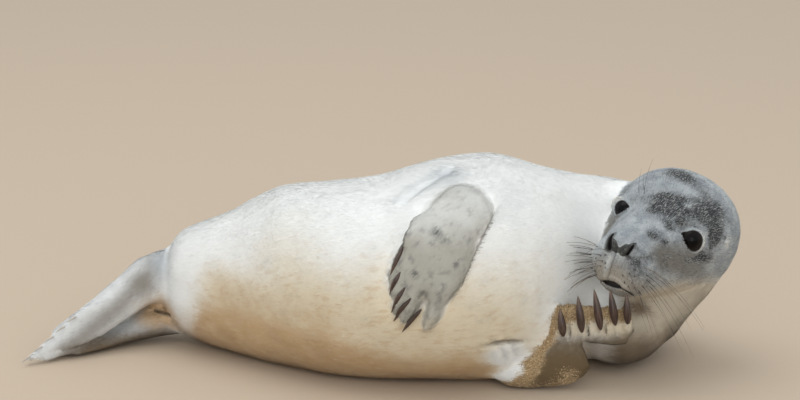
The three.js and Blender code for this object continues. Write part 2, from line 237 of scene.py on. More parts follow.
# %% The floor
FLOOR_HALF = 9000
floor = new_object(
    "floor",
    [(x * FLOOR_HALF, y * FLOOR_HALF, 0) for x, y in ((-1, -1), (1, -1), (1, 1), (-1, 1))],
    [(0, 1, 2, 3)],
)
floor_paint, _, _ = new_material("floor_paint", Base_Color=colour(187, 170, 149), Roughness=0.9)
floor.data.materials.append(floor_paint)

# %% The light
def soft_lamp(name, at, aim, size, power):
    data = bpy.data.lights.new(name, "AREA")
    data.shape = "DISK"
    data.size = size
    data.energy = power
    lamp = bpy.data.objects.new(name, data)
    lamp.location = at
    lamp.rotation_euler = (Vector(aim) - Vector(at)).to_track_quat("-Z", "Y").to_euler()
    bpy.context.scene.collection.objects.link(lamp)


soft_lamp("sky_lamp", (-0.5, 0.3, 3.0), (0.05, 0, 0.1), 2.6, 28)
soft_lamp("front_lamp", (0.3, -3.0, 1.3), (0.05, 0, 0.1), 2.5, 22)
world = bpy.data.worlds.new("world")
bpy.context.scene.world = world
world.use_nodes = True
sky = world.node_tree.nodes["Background"].inputs
sky["Color"].default_value = colour(244, 247, 250)
sky["Strength"].default_value = 0.97

# %% [markdown]
# ## The head's own frame
#
# The head is turned and rolled, so left, right, up and down on the face don't match the
# room's. Every feature of the face is easier to place in a frame of its own: x to the
# animal's left, y to its crown and z along its nose, from midway between the eyes. The eyes'
# places come from their CAD nodes, so the face follows the CAD.

# %% The head's frame
NOSE_WAY = unit((-0.469, -0.854, 0.224))
LEFT_WAY = unit(np.cross((0.328, 0.066, 0.942), NOSE_WAY))
CROWN_WAY = np.cross(NOSE_WAY, LEFT_WAY)
HEAD_AXES = np.array([LEFT_WAY, CROWN_WAY, NOSE_WAY])
EYE_RADIUS = 17.5
EYE_IN_HEAD = np.array([51.0, -3.0, -4.0])  # the left eye's centre


def middle_of(node):
    low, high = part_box(node)
    return np.array((low + high) / 2) / MM


eye_middle = (middle_of("eye_left") + middle_of("eye_right")) / 2
HEAD_AT = eye_middle - EYE_IN_HEAD[1] * CROWN_WAY - EYE_IN_HEAD[2] * NOSE_WAY


def to_head(points):
    return (np.asarray(points) - HEAD_AT) @ HEAD_AXES.T


def from_head(points):
    return np.asarray(points) @ HEAD_AXES + HEAD_AT


def mirrored(place, side):
    """A place given for the head's left, on the side asked for: 1 is left, -1 is right."""
    return np.array([side * place[0], place[1], place[2]])


print("head at", HEAD_AT.round(1), "eye gap", round(float(np.linalg.norm(
    middle_of("eye_left") - middle_of("eye_right"))), 1))

# %% [markdown]
# ## One skin from many solids
#
# A living animal has no seams, but its CAD solids meet at thin gaps. A voxel remesh turns
# any set of closed shapes into one even surface: each solid is first swollen by a fraction
# of a millimetre so that the gaps vanish. Two plugs fill the mouth's hollow and the eye
# balls' places, because the lips and lids are sculpted afterwards on a closed surface, where
# they can be finer than the voxels.

# %% The solids that are flesh
FLESH = {
    "head": ["head", "lower_jaw", "nose"],
    "trunk": ["rump", "loin", "belly", "chest", "neck"],
    "tail": ["tail"],
    "fore_right": ["fore_flipper_right"],
    "fore_left": ["fore_flipper_left"],
    "hind_right": ["hind_flipper_right"],
    "hind_left": ["hind_flipper_left"],
}
REGIONS = list(FLESH)
SWELL = 0.5
NOSE_MIDDLE = -4.5  # the muzzle's tip is turned a little to the animal's right


def sphere(sides, rings):
    """Points and faces of a ball of radius 1. Blender's order of faces varies, so they are sorted."""
    shape = bmesh.new()
    bmesh.ops.create_uvsphere(shape, u_segments=sides, v_segments=rings, radius=1)
    points = np.array([v.co for v in shape.verts])
    faces = [[v.index for v in f.verts] for f in shape.faces]
    shape.free()
    return points, sorted(faces)


def ball_shape(middle, radii):
    """Points and faces of an ellipsoid given in the head's frame."""
    points, faces = sphere(32, 20)
    return from_head(points * radii + middle), faces


def welded(node):
    shape = bmesh.new()
    shape.from_mesh(nodes[node].data)
    bmesh.ops.remove_doubles(shape, verts=shape.verts, dist=1e-5)
    shape.normal_update()
    points = np.array([v.co + v.normal * SWELL * MM for v in shape.verts]) / MM
    faces = [[v.index for v in f.verts] for f in shape.faces]
    shape.free()
    return points, faces


def joined(shapes):
    points, faces, before = [], [], 0
    for part_points, part_faces in shapes:
        points.append(part_points)
        faces += [[index + before for index in face] for face in part_faces]
        before += len(part_points)
    return np.concatenate(points), faces


flesh = {region: joined([welded(node) for node in members]) for region, members in FLESH.items()}
plugs = [ball_shape(mirrored(EYE_IN_HEAD, side), [EYE_RADIUS] * 3) for side in (1, -1)]
plugs.append(ball_shape((2, -88, 80), (23, 5, 13)))
plugs += [ball_shape((NOSE_MIDDLE + side * 16, -31, 93), (3.5, 10, 5)) for side in (1, -1)]
print({region: len(faces) for region, (_, faces) in flesh.items()})

# %% One closed surface
VOXEL = 2.9

lump = new_object("lump", *joined([*flesh.values(), *plugs]))
voxels = lump.modifiers.new("voxels", "REMESH")
voxels.mode = "VOXEL"
voxels.voxel_size = VOXEL * MM
graph = bpy.context.evaluated_depsgraph_get()
skin_mesh = bpy.data.meshes.new_from_object(lump.evaluated_get(graph), depsgraph=graph)
bpy.data.objects.remove(lump)
skin_mesh.name = "seal_skin"


def keep_largest_island(mesh):
    shape = bmesh.new()
    shape.from_mesh(mesh)
    shape.verts.ensure_lookup_table()
    island = np.full(len(shape.verts), -1)
    sizes = []
    for start in shape.verts:
        if island[start.index] >= 0:
            continue
        island[start.index] = len(sizes)
        reached = [start]
        for vert in reached:
            for edge in vert.link_edges:
                other = edge.other_vert(vert)
                if island[other.index] < 0:
                    island[other.index] = len(sizes)
                    reached.append(other)
        sizes.append(len(reached))
    loose = [v for v in shape.verts if island[v.index] != np.argmax(sizes)]
    bmesh.ops.delete(shape, geom=loose, context="VERTS")
    shape.to_mesh(mesh)
    shape.free()
    return sizes


islands = keep_largest_island(skin_mesh)
print("skin faces", len(skin_mesh.polygons), "islands", len(islands))

# %% [markdown]
# ## Which region each point belongs to
#
# The skin forgot which solid each point came from. A BVH tree answers this quickly: it finds
# the nearest face of the CAD solids, and that face's region becomes a mask. Relaxing the
# masks over the mesh softens their borders, so that every later effect fades in smoothly.

# %% Region masks
flesh_faces = joined(list(flesh.values()))
region_of_face = np.repeat(np.arange(len(REGIONS)), [len(faces) for _, faces in flesh.values()])
flesh_tree = BVHTree.FromPolygons(flesh_faces[0].tolist(), flesh_faces[1])


def region_masks(mesh, rounds):
    nearest = [flesh_tree.find_nearest(place)[2] for place in points_of(mesh).tolist()]
    labels = region_of_face[np.array(nearest)]
    return relax(np.eye(len(REGIONS))[labels], edges_of(mesh), rounds)


coarse = dict(zip(REGIONS, region_masks(skin_mesh, 6).T))
print({region: int(mask.sum()) for region, mask in coarse.items()})

# %% [markdown]
# ## Smoothing away the facets
#
# The trunk's CAD facets are wide, so they need many rounds of relaxing, and the toes need
# very few or they would melt. The number of rounds is set per point from the masks. Relaxing
# pulls a round body in by about a millimetre, which leaves room for the coat's depth.

# %% Relax by region
ROUNDS = [9, 46, 5, 4, 3, 4, 4]  # for each region in turn, as in FLESH
INSET = [0.7, 0.9, 0.6, 0.3, 0.3, 0.3, 0.3]
HIPS_AT, HIPS_REACH, HIPS_ROUNDS = -305, 34, 28  # the hips join the hind flippers, so they melt further


def mixed(values, masks):
    """Each point's own value, mixed from the regions' values by its masks."""
    return sum(value * masks[region] for value, region in zip(values, REGIONS))


raw_points = points_of(skin_mesh)
rounds_here = np.maximum(mixed(ROUNDS, coarse), HIPS_ROUNDS * hill(raw_points[:, 0] - HIPS_AT, HIPS_REACH))
points = relax(raw_points, edges_of(skin_mesh), max(ROUNDS), lambda step: np.clip(rounds_here - step, 0, 1))
set_points(skin_mesh, points)
points -= normals_of(skin_mesh) * (mixed(INSET, coarse) + SWELL)[:, None]
set_points(skin_mesh, points)
print("most rounds of relaxing", round(float(rounds_here.max()), 1))

# %% [markdown]
# ## Finer mesh where the detail is
#
# Lids, nostrils and lips are only a few millimetres wide. Splitting the faces of the head
# and the feet in four gives points every millimetre and a half, and a second split around
# the eyes, the nose and the mouth gives points closer than a millimetre. The broad flanks
# keep their larger faces.

# %% Split chosen faces
def split_faces(mesh, chosen):
    """Splits each chosen face in four; `chosen` takes the faces' middles and gives True or False."""
    shape = bmesh.new()
    shape.from_mesh(mesh)
    middles = np.array([f.calc_center_median() for f in shape.faces]) / MM
    faces = [face for face, take in zip(shape.faces, chosen(middles)) if take]
    edges = list({edge for face in faces for edge in face.edges})
    bmesh.ops.subdivide_edges(shape, edges=edges, cuts=1, use_grid_fill=True)
    ngons = [face for face in shape.faces if len(face.verts) > 4]
    bmesh.ops.triangulate(shape, faces=ngons)
    shape.to_mesh(mesh)
    shape.free()


def on_face(middles):
    h = to_head(middles)
    off = np.linalg.norm(h / (105, 125, 135) - np.array([0, -0.25, 0]), axis=1)
    return (off < 1) & (h[:, 2] > -95)


def on_toes(middles):
    x, y, z = middles.T
    lower_fore = (x > 205) & (x < 350) & (y < -88) & (z < 140)
    upper_fore = (x > 5) & (x < 135) & (y < -95) & (z > 70) & (z < 235)
    hind = x < -395
    return lower_fore | upper_fore | hind


def on_features(middles):
    h = to_head(middles)
    eyes = np.min([apart(h, mirrored(EYE_IN_HEAD, side)) for side in (1, -1)], axis=0)
    muzzle = (h[:, 2] > 52) & (np.abs(h[:, 0]) < 50) & (h[:, 1] < -8) & (h[:, 1] > -112)
    return (eyes < 31) | muzzle


split_faces(skin_mesh, lambda middles: on_face(middles) | on_toes(middles))
split_faces(skin_mesh, on_features)
skin_edges = edges_of(skin_mesh)
points = points_of(skin_mesh)
fine = (on_face(points) | on_toes(points)).astype(float)
points = relax(points, skin_edges, 4, lambda step: 0.7 * fine)
set_points(skin_mesh, points)
masks = dict(zip(REGIONS, region_masks(skin_mesh, 8).T))
print("skin faces", len(skin_mesh.polygons))

# %% [markdown]
# ## Sculpting the face
#
# A pup's face reads through its eyes first. Each eye ball is wet and round, and the lids
# wrap over it as a thin rim with a soft fold around it. Each skin point near an eye is
# described by its angle from the way the eye looks: inside the opening it sinks behind the
# ball, at the rim it stands just proud of the ball, and further out it blends back into the
# cheek and the brow.

# %% The eyelids
# For each side: the way its opening faces in the head's frame, half the opening in degrees at the
# ball's middle, and where around it the opening is wider or narrower: turn, change and reach.
EYES = {
    1: {"look": (0.556, 0.105, 0.824), "half": 45.5,
        "bays": [(0.2, 20, 0.3), (-2.4, 11, 0.5), (-1.0, -9, 0.6)]},
    -1: {"look": (-0.27, 0.208, 0.94), "half": 29,
         "bays": [(0.45, 9, 0.35), (-1.85, 8, 0.35), (-0.7, -6, 0.45)]},
}
LID_RIM = 0.9  # how far the lid's edge stands off the ball
LID_OUTER = 2.2


def eye_angles(h, side):
    """Distance from an eye's middle, degrees off its look, turn around it from the nose, and way."""
    look = unit(EYES[side]["look"])
    offset = h - mirrored(EYE_IN_HEAD, side)
    distance = np.linalg.norm(offset, axis=1)
    way = offset / np.maximum(distance, 1e-6)[:, None]
    inward = unit(np.array([-side, 0, 0]) - look * -side * look[0])
    upward = np.cross(look, inward) * side
    upward = upward * np.sign(upward[1])
    tilt = np.degrees(np.arccos(np.clip(way @ look, -1, 1)))
    turn = np.arctan2(way @ upward, way @ inward)
    return distance, tilt, turn, way


def opening_at(turn, side):
    half = np.full(len(turn), float(EYES[side]["half"]))
    for at, change, reach in EYES[side]["bays"]:
        half += change * hill(turned_from(turn, at), reach)
    return half


def shape_lids(h, side, share):
    distance, tilt, turn, way = eye_angles(h, side)
    past = tilt - opening_at(turn, side)
    rim = soft_step(past, -4, 1.5)
    radius = EYE_RADIUS - 3 + rim * (3 + LID_RIM)
    radius += (LID_OUTER - LID_RIM) * soft_step(past, 1.5, 9)
    if side < 0:  # the right eye's outer lid is full, and stands out past the ball
        radius += 5.0 * hill(past - 14, 8) * hill(turned_from(turn, 2.8), 0.9) * soft_step(past, 1, 8)
    fold = 0.9 * hill(past - 17, 3.0) * (0.5 + 0.5 * np.sin(turn)) + 0.4 * hill(past - 25, 2.6)
    blend = soft_step(past, 10, 34)
    target = radius * (1 - blend) + distance * blend - fold
    near = (distance < 42) * fall(tilt, 100, 120) * share
    return h + way * ((target - distance) * near)[:, None]


h = to_head(points)
head_share = soft_step(masks["head"], 0.35, 0.75)
for side in (1, -1):
    h = shape_lids(h, side, head_share)

# %% [markdown]
# ## Nose, mouth and ear
#
# A seal closes its nostrils at rest: each is a slanted slit with a soft raised border. A
# groove runs down from between them and splits the upper lip. The mouth's line curves round
# the muzzle to its corners and gapes a little in front. The ears have no flaps, only a small
# hole on each side. Each feature is a push along a known way, strongest on its own line.

# %% The nostrils and the groove below them
# Each slit runs from its upper outer end to its lower inner end, in the head's x and y.
SLITS = {
    -1: {"ends": ((-23.5, -24), (-17, -45)), "half": 3.7, "bow": 0.0, "rim": 4.6},
    1: {"ends": ((12.5, -25), (8.5, -41)), "half": 1.9, "bow": 0.8, "rim": 2.4},
}
GROOVE_AT = -6.5


def off_slit(h, side):
    """How far off a nostril's slit each point lies (outside is positive), and how far along it, 0 to 1."""
    top, bottom = (np.array(end, float) for end in SLITS[side]["ends"])
    length = np.linalg.norm(bottom - top)
    way = (bottom - top) / length
    away = h[:, :2] - top
    along = away @ way / length
    across = (away @ np.array([-way[1], way[0]])) * np.sign(-way[1]) * side
    bow = SLITS[side]["bow"] * np.clip(4 * along * (1 - along), 0, 1)
    return across - bow, along


front = soft_step(h[:, 2], 62, 76)
nostril = np.zeros(len(h))
nostril_rim = np.zeros(len(h))
for side in (1, -1):
    across, along = off_slit(h, side)
    half = SLITS[side]["half"]
    width = half * np.sqrt(np.clip(4 * (along + 0.06) * (1.06 - along), 0.01, 1))
    ends = span(along, -0.06, 0.1, 0.9, 1.06)
    slit = fall(np.abs(across), 0.45 * width, 1.25 * width) * ends * front
    around = span(along, -0.5, 0.1, 0.85, 1.4) * front
    border = (hill(across - half - 2.8, 2.4) + 0.8 * hill(across + half + 2.2, 2.0)) * around
    h[:, 2] -= 8.0 * slit
    h[:, 2] += 1.5 * border
    nostril = np.maximum(nostril, slit)
    nostril_rim = np.maximum(nostril_rim, hill(across, half + SLITS[side]["rim"]) * around)
groove_span = span(h[:, 1], -86, -80, -44, -38)
lip_groove = hill(h[:, 0] - GROOVE_AT, 1.3) * groove_span * front
h[:, 2] -= 2.0 * lip_groove
ridges = hill(h[:, 0] - GROOVE_AT + 7, 3.0) + 0.7 * hill(h[:, 0] - GROOVE_AT - 6, 3.2)
h[:, 2] += 1.3 * ridges * groove_span * front
side_crease = hill(h[:, 0] - 9.3 - 0.1 * (h[:, 1] + 42), 1.3)
side_crease *= span(h[:, 1], -66, -59, -44, -39)
h[:, 2] -= 0.8 * side_crease * front

# %% The mouth
MOUTH_LINE = [(-41, -98, 55), (-33, -94, 70), (-22, -90, 84), (-8, -86.8, 93), (4, -85.6, 94),
              (16, -85, 89), (27, -89, 77), (35, -95, 64), (41, -100, 54)]
GAPE_MIDDLE, GAPE_HALF = 1.0, 16.5
GAPE_HEIGHT = 4.9

def line_points(stops, step=1.5):
    """Evenly spaced points along a line of stops, rounded at the corners."""
    stops = np.array(stops, float)
    lengths = np.r_[0, np.cumsum(np.linalg.norm(np.diff(stops, axis=0), axis=1))]
    at = np.linspace(0, lengths[-1], int(lengths[-1] / step) + 2)
    path = np.stack([np.interp(at, lengths, column) for column in stops.T], axis=1)
    for _ in range(6):
        path[1:-1] = (path[:-2] + 2 * path[1:-1] + path[2:]) / 4
    return path


def off_line(places, path):
    """Each place's offset from the nearest point of a path, and how far along that point is, 0 to 1."""
    best = np.full(len(places), np.inf)
    offset = np.zeros((len(places), 3))
    share = np.zeros(len(places))
    for index, stop in enumerate(path):
        away = places - stop
        distance = np.einsum("ij,ij->i", away, away)
        closer = distance < best
        best = np.where(closer, distance, best)
        offset[closer] = away[closer]
        share[closer] = index / (len(path) - 1)
    return offset, share


muzzle = np.where((h[:, 2] > 35) & (np.abs(h[:, 0]) < 60) & (h[:, 1] < -60))[0]
offset, share = off_line(h[muzzle], line_points(MOUTH_LINE))
inward = unit(np.stack([-h[muzzle, 0] * 0.9, np.full(len(muzzle), -6.0), -(h[muzzle, 2] - 25)], axis=1))
height = offset[:, 1]
ends = span(share, 0, 0.06, 0.94, 1)
gape = GAPE_HEIGHT * np.clip(1 - ((h[muzzle, 0] - GAPE_MIDDLE) / GAPE_HALF) ** 2, 0, 1) ** 0.8
seam = hill(height, 1.25) * 3.2 * ends
gap = fall(np.abs(height), gape * 0.55, gape + 1.2) * soft_step(gape, 0.2, 1.6) * 9
h_lips = h[muzzle] + inward * np.maximum(seam, gap)[:, None]
h_lips -= inward * (1.5 * hill(height - gape - 3.2, 3.0) * ends)[:, None]
h_lips -= inward * (1.3 * hill(height + gape + 2.6, 2.6) * ends)[:, None]
near_lips = hill(np.linalg.norm(offset, axis=1), 16)[:, None]
h[muzzle] = h[muzzle] * (1 - near_lips) + h_lips * near_lips
# Painted shade in the gape and along the seam between the lips.
mouth_dark = np.zeros(len(h))
mouth_dark[muzzle] = np.maximum(seam / 3.2 * 0.8, gap / 9) * hill(np.linalg.norm(offset, axis=1), 14)

# %% Ears, brows and the whisker pads' follicles
EAR_AT = (82, 10, -43.5)
ear = np.zeros(len(h))
for side in (1, -1):
    away = apart(h, mirrored(EAR_AT, side))
    h -= unit(mirrored((1, 0.15, -0.2), side)) * (5.0 * hill(away, 3.2) - hill(away - 7, 2.8))[:, None]
    ear = np.maximum(ear, hill(away, 4.2))

FOLLICLE_ROWS = [  # height on the pad, first and last place outwards, how many
    (-44, 26, 47, 4), (-52, 20, 50, 6), (-60, 17, 51, 7),
    (-68, 18, 50, 7), (-76, 22, 47, 6), (-83, 27, 43, 4),
]
follicles = []
for height, first, last, count in FOLLICLE_ROWS:
    for place in np.linspace(first, last, count):
        follicles.append((place, height - 0.18 * (place - 20)))
follicles = np.array(follicles)
follicle_rng = np.random.default_rng(3)
follicle_roots = []  # (side, point in the head's frame)
pad = np.zeros(len(h))
outer_muzzle = np.where((h[:, 2] > 30) & (h[:, 1] > -100) & (h[:, 1] < -30) & (np.abs(h[:, 0]) < 62))[0]
for side in (1, -1):
    for aside, upward in follicles + 1.1 * follicle_rng.normal(size=follicles.shape):
        swing = math.radians(78 * (aside - 8) / 46)
        ray = np.array([side * math.sin(swing), 0, math.cos(swing)])
        seat = np.array([0, upward, 48])
        offset = h[outer_muzzle] - seat
        across = offset - np.outer(offset @ ray, ray)
        reach = np.where(offset @ ray > 0, np.linalg.norm(across, axis=1), 99)
        root = h[outer_muzzle[np.argmin(reach)]]
        follicle_roots.append((side, root.copy()))
for side, root in follicle_roots:
    away = apart(h[outer_muzzle], root)
    bulge = (0.55 + 0.45 * follicle_rng.random()) * hill(away, 1.7)
    pad[outer_muzzle] = np.maximum(pad[outer_muzzle], bulge)
h[outer_muzzle] += unit(h[outer_muzzle] - (0, -60, 48)) * (0.45 * pad[outer_muzzle])[:, None]
points = from_head(h)
set_points(skin_mesh, points)
print("follicles", len(follicle_roots), "nostril points", int((nostril > 0.5).sum()))

# %% [markdown]
# ## Folds of the skin
#
# Under a pup's coat lies loose, thick skin. Where a limb or the neck bends, it gathers in
# soft folds. A fold is drawn as a line of places on the body with a width and a depth, and
# most folds and creases also get painted shade along their lines. The same brush cuts the
# furrows between the toes, whose lines run between neighbouring claws, and paints shade in them.

# %% Folds behind the arm, at the shoulder, the neck and the wrist
FOLDS = [  # line of places in millimetres, half width, depth, how strongly painted grey shade darkens it
    ([(118, -17, 294), (88, -38, 286), (63, -55, 276), (44, -68, 267), (30, -79, 257), (24, -92, 245)],
     20, 4.0, 0.5),
    ([(192, -40, 281), (192, -66, 274), (187, -90, 262), (180, -113, 245), (176, -128, 226)], 30, 1.2, 0.3),
    ([(140, -152, 92), (156, -150, 80), (168, -146, 62), (172, -140, 44)], 9, 0.9, 0.0),
    ([(156, -152, 96), (172, -147, 82), (184, -141, 62), (188, -134, 42)], 9, 0.9, 0.0),
]
CREASES = [  # the shadowed creases at the arms' edges
    ([(166, -98, 264), (158, -112, 254), (149, -127, 240), (140, -142, 224), (130, -153, 206),
      (121, -162, 188), (111, -168, 169), (100, -171, 149), (90, -173, 131)], 4.5, 2.5, 1.0),
    ([(140, -153, 70), (152, -150, 76), (163, -147, 78), (178, -141, 78), (191, -135, 76), (204, -130, 74)],
     6, 4.0, 0.9),
]
normals = normals_of(skin_mesh)


def press(stops, width, depth):
    """Presses a line of places into the skin and gives how near each point is to the line."""
    path = line_points(stops, step=3)
    low, high = path.min(axis=0) - 3 * width, path.max(axis=0) + 3 * width
    near = np.where(np.all((points > low) & (points < high), axis=1))[0]
    offset, share = off_line(points[near], path)
    off_skin = np.einsum("ij,ij->i", offset, normals[near])
    away = np.linalg.norm(offset - off_skin[:, None] * normals[near], axis=1)
    away = np.hypot(away, 0.3 * off_skin)
    fade = span(share, 0, 0.25, 0.8, 1)
    points[near] -= normals[near] * (depth * hill(away, width * 0.6) * fade)[:, None]
    nearness = np.zeros(len(points))
    nearness[near] = fade * hill(away, width * 0.9)
    return nearness


def press_all(lines):
    deepest = np.zeros(len(points))
    for stops, width, depth, shade in lines:
        deepest = np.maximum(deepest, shade * press(stops, width, depth))
    return deepest


ARM_PULLS = [  # place, pull and reach: the arm is broadest below its elbow, so its edges are drawn outwards
    ((58, -139, 243), (-11, 0, 5), 17), ((48, -152, 226), (-11, 0, 3), 15),
    ((147, -131, 239), (7, -1, 2), 16), ((158, -114, 252), (8, -1, 3), 15),
    ((125, -155, 206), (4, -1, 1), 16), ((112, -165, 185), (4, -1, 1), 19),
    ((99, -171, 163), (3, -1, 1), 19),
]
NECK_PUSHES = [(454, 88, 9, 33), (438, 56, 7, 26)]  # x, z, depth and reach: the neck narrows under the jaw
for at, way, reach in ARM_PULLS:
    pull = hill(apart(points, at), reach) * soft_step(masks["fore_right"], 0.1, 0.7)
    points += pull[:, None] * np.array(way, float)
for at_x, at_z, depth, reach in NECK_PUSHES:
    points[:, 0] -= depth * hill(np.hypot(points[:, 0] - at_x, points[:, 2] - at_z), reach)
fold_shade = press_all(FOLDS)
# Painted shade along the creases, faded out on the upper flipper itself.
crease_shade = press_all(CREASES) * (1 - 0.85 * soft_step(masks["fore_right"], 0.35, 0.7))

# %% Furrows between the claws
def claw_ends(node):
    """Root and tip of a CAD claw, in millimetres."""
    cloud = points_of(nodes[node].data)
    centre = cloud.mean(axis=0)
    way = np.linalg.svd(cloud - centre)[2][0]
    at = (cloud - centre) @ way
    low, high = np.percentile(at, 1), np.percentile(at, 99)
    spread = np.linalg.norm(cloud - centre - np.outer(at, way), axis=1)
    quarter = (high - low) / 4
    if spread[at > high - quarter].mean() > spread[at < low + quarter].mean():
        way, at, low, high = -way, -at, -high, -low
    return centre + way * low, centre + way * high


def furrows(stem, back, width, depth, lean=0.5):
    ends = [claw_ends(f"{stem}_{index}") for index in range(1, 6)]
    deepest = np.zeros(len(points))
    for (root, tip), (next_root, next_tip) in zip(ends, ends[1:]):
        first, last = root * (1 - lean) + next_root * lean, tip * (1 - lean) + next_tip * lean
        deepest = np.maximum(deepest, press([first - unit(last - first) * back, first, last], width, depth))
    return deepest


# Painted shadow along the upper hind flipper's lower edge and at its ankle, laid on with the creases'
# shade.
UNDER_EDGE = [(-338, 76, 92), (-352, 70, 76), (-372, 54, 60), (-394, 38, 46), (-416, 22, 30), (-440, 9, 14)]
offset, _ = off_line(points, line_points(UNDER_EDGE, step=3))
hind_shadow = 0.75 * hill(np.linalg.norm(offset, axis=1), 17) * masks["hind_right"]
hind_shadow += 0.45 * hill(np.linalg.norm((points - (-324, 76, 108)) / (0.6, 3, 1.3), axis=1), 26)
hind_shadow += 0.1 * hill(np.linalg.norm((points - (-346, 68, 92)) / (1.5, 3, 1.0), axis=1), 26)
furrow_right = furrows("claw_right", 26, 4.0, 1.5)
furrow_left = furrows("claw_left", 14, 4.2, 4.0, lean=0.66)
print("furrow points", int((furrow_right > 0.5).sum()), int((furrow_left > 0.5).sum()))

# %% The slit under the tail, and the stain around it
VENT_LINE = [(-320, 80, 51), (-313, 75.5, 49.5), (-304, 69, 48), (-297, 61, 46.5)]
offset, _ = off_line(points, line_points(VENT_LINE, step=3))
# The slit is pressed in and painted dark, as shade inside it.
vent = 0.62 * hill(np.linalg.norm(offset, axis=1), 5)
points -= normals * (4 * hill(np.linalg.norm(offset, axis=1), 4))[:, None]
stain_ring = hill(np.linalg.norm(offset, axis=1), 30)

# %% Soft unevenness of the flesh
trunk = masks["trunk"]
limbs = masks["fore_right"] + masks["fore_left"] + masks["hind_right"] + masks["hind_left"]
swells = soft_noise(points, 70, 3) * 1.6 + soft_noise(points, (46, 24, 24), 5) * 0.8
points += normals * (swells * trunk)[:, None]
points += normals * (soft_noise(points, 16, 9) * 0.5 * limbs)[:, None]
points[:, 2] = np.maximum(points[:, 2], 0.9)
set_points(skin_mesh, points)
shade_smooth(skin_mesh)
normals = normals_of(skin_mesh)
low, high = points.min(axis=0), points.max(axis=0)
print("skin box", low.round(1), high.round(1))

# %% [markdown]
# ## The lie of the coat
#
# Hair on a seal points away from the nose, back along the body and out along the flippers.
# Each region gets a simple way of its own, the borders are blended by relaxing the field, and
# the result is laid flat on the skin by taking away the part that sticks out of it. The coat
# uses this field for its tufts.

# %% Which way the hair lies
h = to_head(points)
from_nose = unit(h - np.array([0, -40, 108])) @ HEAD_AXES
up_the_digits = soft_step(points[:, 2], 52, 92)[:, None]
LIE = {
    "trunk": (-1.0, 0.05, -0.16),
    "head": from_nose,
    "tail": (-1.0, 0.3, -0.25),
    "fore_right": (-0.72, -0.45, -0.75),
    "fore_left": (1 - up_the_digits) * (1.0, 0.0, 0.1) + up_the_digits * (-0.12, -0.15, 1.0),
    "hind_right": (-0.86, -0.36, -0.42),
    "hind_left": (-0.93, -0.4, -0.1),
}
lie = sum(unit(LIE[region]) * masks[region][:, None] for region in REGIONS)
lie = relax(lie, skin_edges, 12)
swirl = np.stack([soft_noise(points, 42, seed) for seed in (11, 12, 13)], axis=1)
lie = lie + 0.28 * swirl
lie = unit(lie - normals * np.einsum("ij,ij->i", lie, normals)[:, None])

# %% [markdown]
# ## The markings
#
# The markings belong to the animal, not to one piece, so skin and coat read the same masks.
# Each mask is a number per point of the skin. The hood is the blue-grey of the head, the
# dapples are dark patches on it, the pale mask lightens rings and lips, the stain is the
# tan of wet sand and dirt under the body, and the saddle is the darker back. Other masks are
# painted shade: they darken the folds and creases, the hollows, the lower hind flipper, the
# throat under the chin and the furrows between the toes. The patches are a few named ovals,
# and noise in the material breaks their edges into hairs and specks.

# %% Patches on the head
def oval(h, middle, radii, tilt=0.0):
    """1 at an oval's middle, fading past its radii; tilt turns it about the nose's way, in degrees."""
    away = h - np.array(middle)
    turn = math.radians(tilt)
    x = away[:, 0] * math.cos(turn) + away[:, 1] * math.sin(turn)
    y = away[:, 1] * math.cos(turn) - away[:, 0] * math.sin(turn)
    return np.exp(-((x / radii[0]) ** 2 + (y / radii[1]) ** 2 + (away[:, 2] / radii[2]) ** 2))


DARK_PATCHES = [  # name, middle, radii, strength and, where there is one, tilt
    ("forehead", (8, 24, 12), (19, 15, 26), 0.95),
    ("forehead right", (-8, 31, 5), (17, 15, 24), 0.7),
    ("forehead left", (26, 30, 8), (16, 15, 24), 0.55, 10),
    ("left brow", (57, 29, -13), (17, 11, 20), 1.0, -25),
    ("left brow inner", (38, 26, 4), (14, 10, 16), 0.4),
    ("crown", (-6, 64, -40), (22, 13, 18), 1.15, -8),
    ("crown front", (-30, 58, -36), (14, 12, 14), 0.35),
    ("above the left brow", (50, 43, -24), (24, 16, 22), 0.8, -25),
    ("upper left", (58, 44, -38), (14, 14, 16), 0.4),
    ("crown left", (30, 58, -36), (14, 8, 14), 0.35, -25),
    ("crown right", (-26, 66, -54), (20, 10, 18), 0.45),
    ("forehead core", (-3, 33, 2), (12, 10, 13), 0.8),
    ("forehead low right", (-9, 15, 22), (9, 9, 10), 0.7),
    ("forehead high", (15, 41, -6), (10, 7, 10), 0.6),
    ("forehead low", (20, 9, 27), (9, 7, 9), 0.6),
    ("brow middle", (30, 47, -18), (10, 7, 10), 0.45),
    ("over the left eye", (34, 15, 13), (8, 6, 9), 0.6),
    ("outside the left eye", (70, 10, -17), (5, 9, 7), 0.8),
    ("outside, lower", (75, -5, -19), (5, 8, 7), 0.6),
    ("over the nostril", (15, -26, 90), (7, 6, 8), 0.6),
    ("left temple", (75, 11, -26), (9, 14, 11), 1.3, 10),
    ("behind the temple", (78, 36, -46), (12, 18, 22), 0.4),
    ("left inner corner", (34, 2, 23), (7, 5, 9), 0.7),
    ("snout left", (19, -8, 60), (7, 5, 8), 1.2),
    ("snout spot", (35, -13, 45), (4.5, 4.5, 7), 0.8),
    ("snout inner", (27, 4, 30), (6, 5, 8), 0.65),
    ("beside the nostril", (12, -41, 94), (4, 4, 7), 0.7),
    ("snout specks", (26, -10, 50), (17, 12, 18), 0.5),
    ("above the pad", (33, -32, 76), (15, 7, 12), 0.55),
    ("beside the pad", (48, -45, 52), (8, 10, 14), 0.35),
    ("under the left eye", (75, -21, -14), (13, 9, 20), 0.95, 10),
    ("left cheek", (46, -30, 44), (12, 9, 16), 0.5),
    ("beside the nose", (22, -44, 86), (10, 10, 14), 0.8),
    ("right brow", (-30, 24, 12), (14, 8, 16), 0.35, 20),
    ("right inner corner", (-34, 2, 20), (6, 4, 8), 0.4),
    ("right temple", (-73, 18, -22), (10, 11, 12), 0.8, -15),
    ("nape", (0, 44, -100), (46, 30, 30), 0.5),
    ("pad left", (32, -57, 84), (18, 17, 16), 0.62),
]
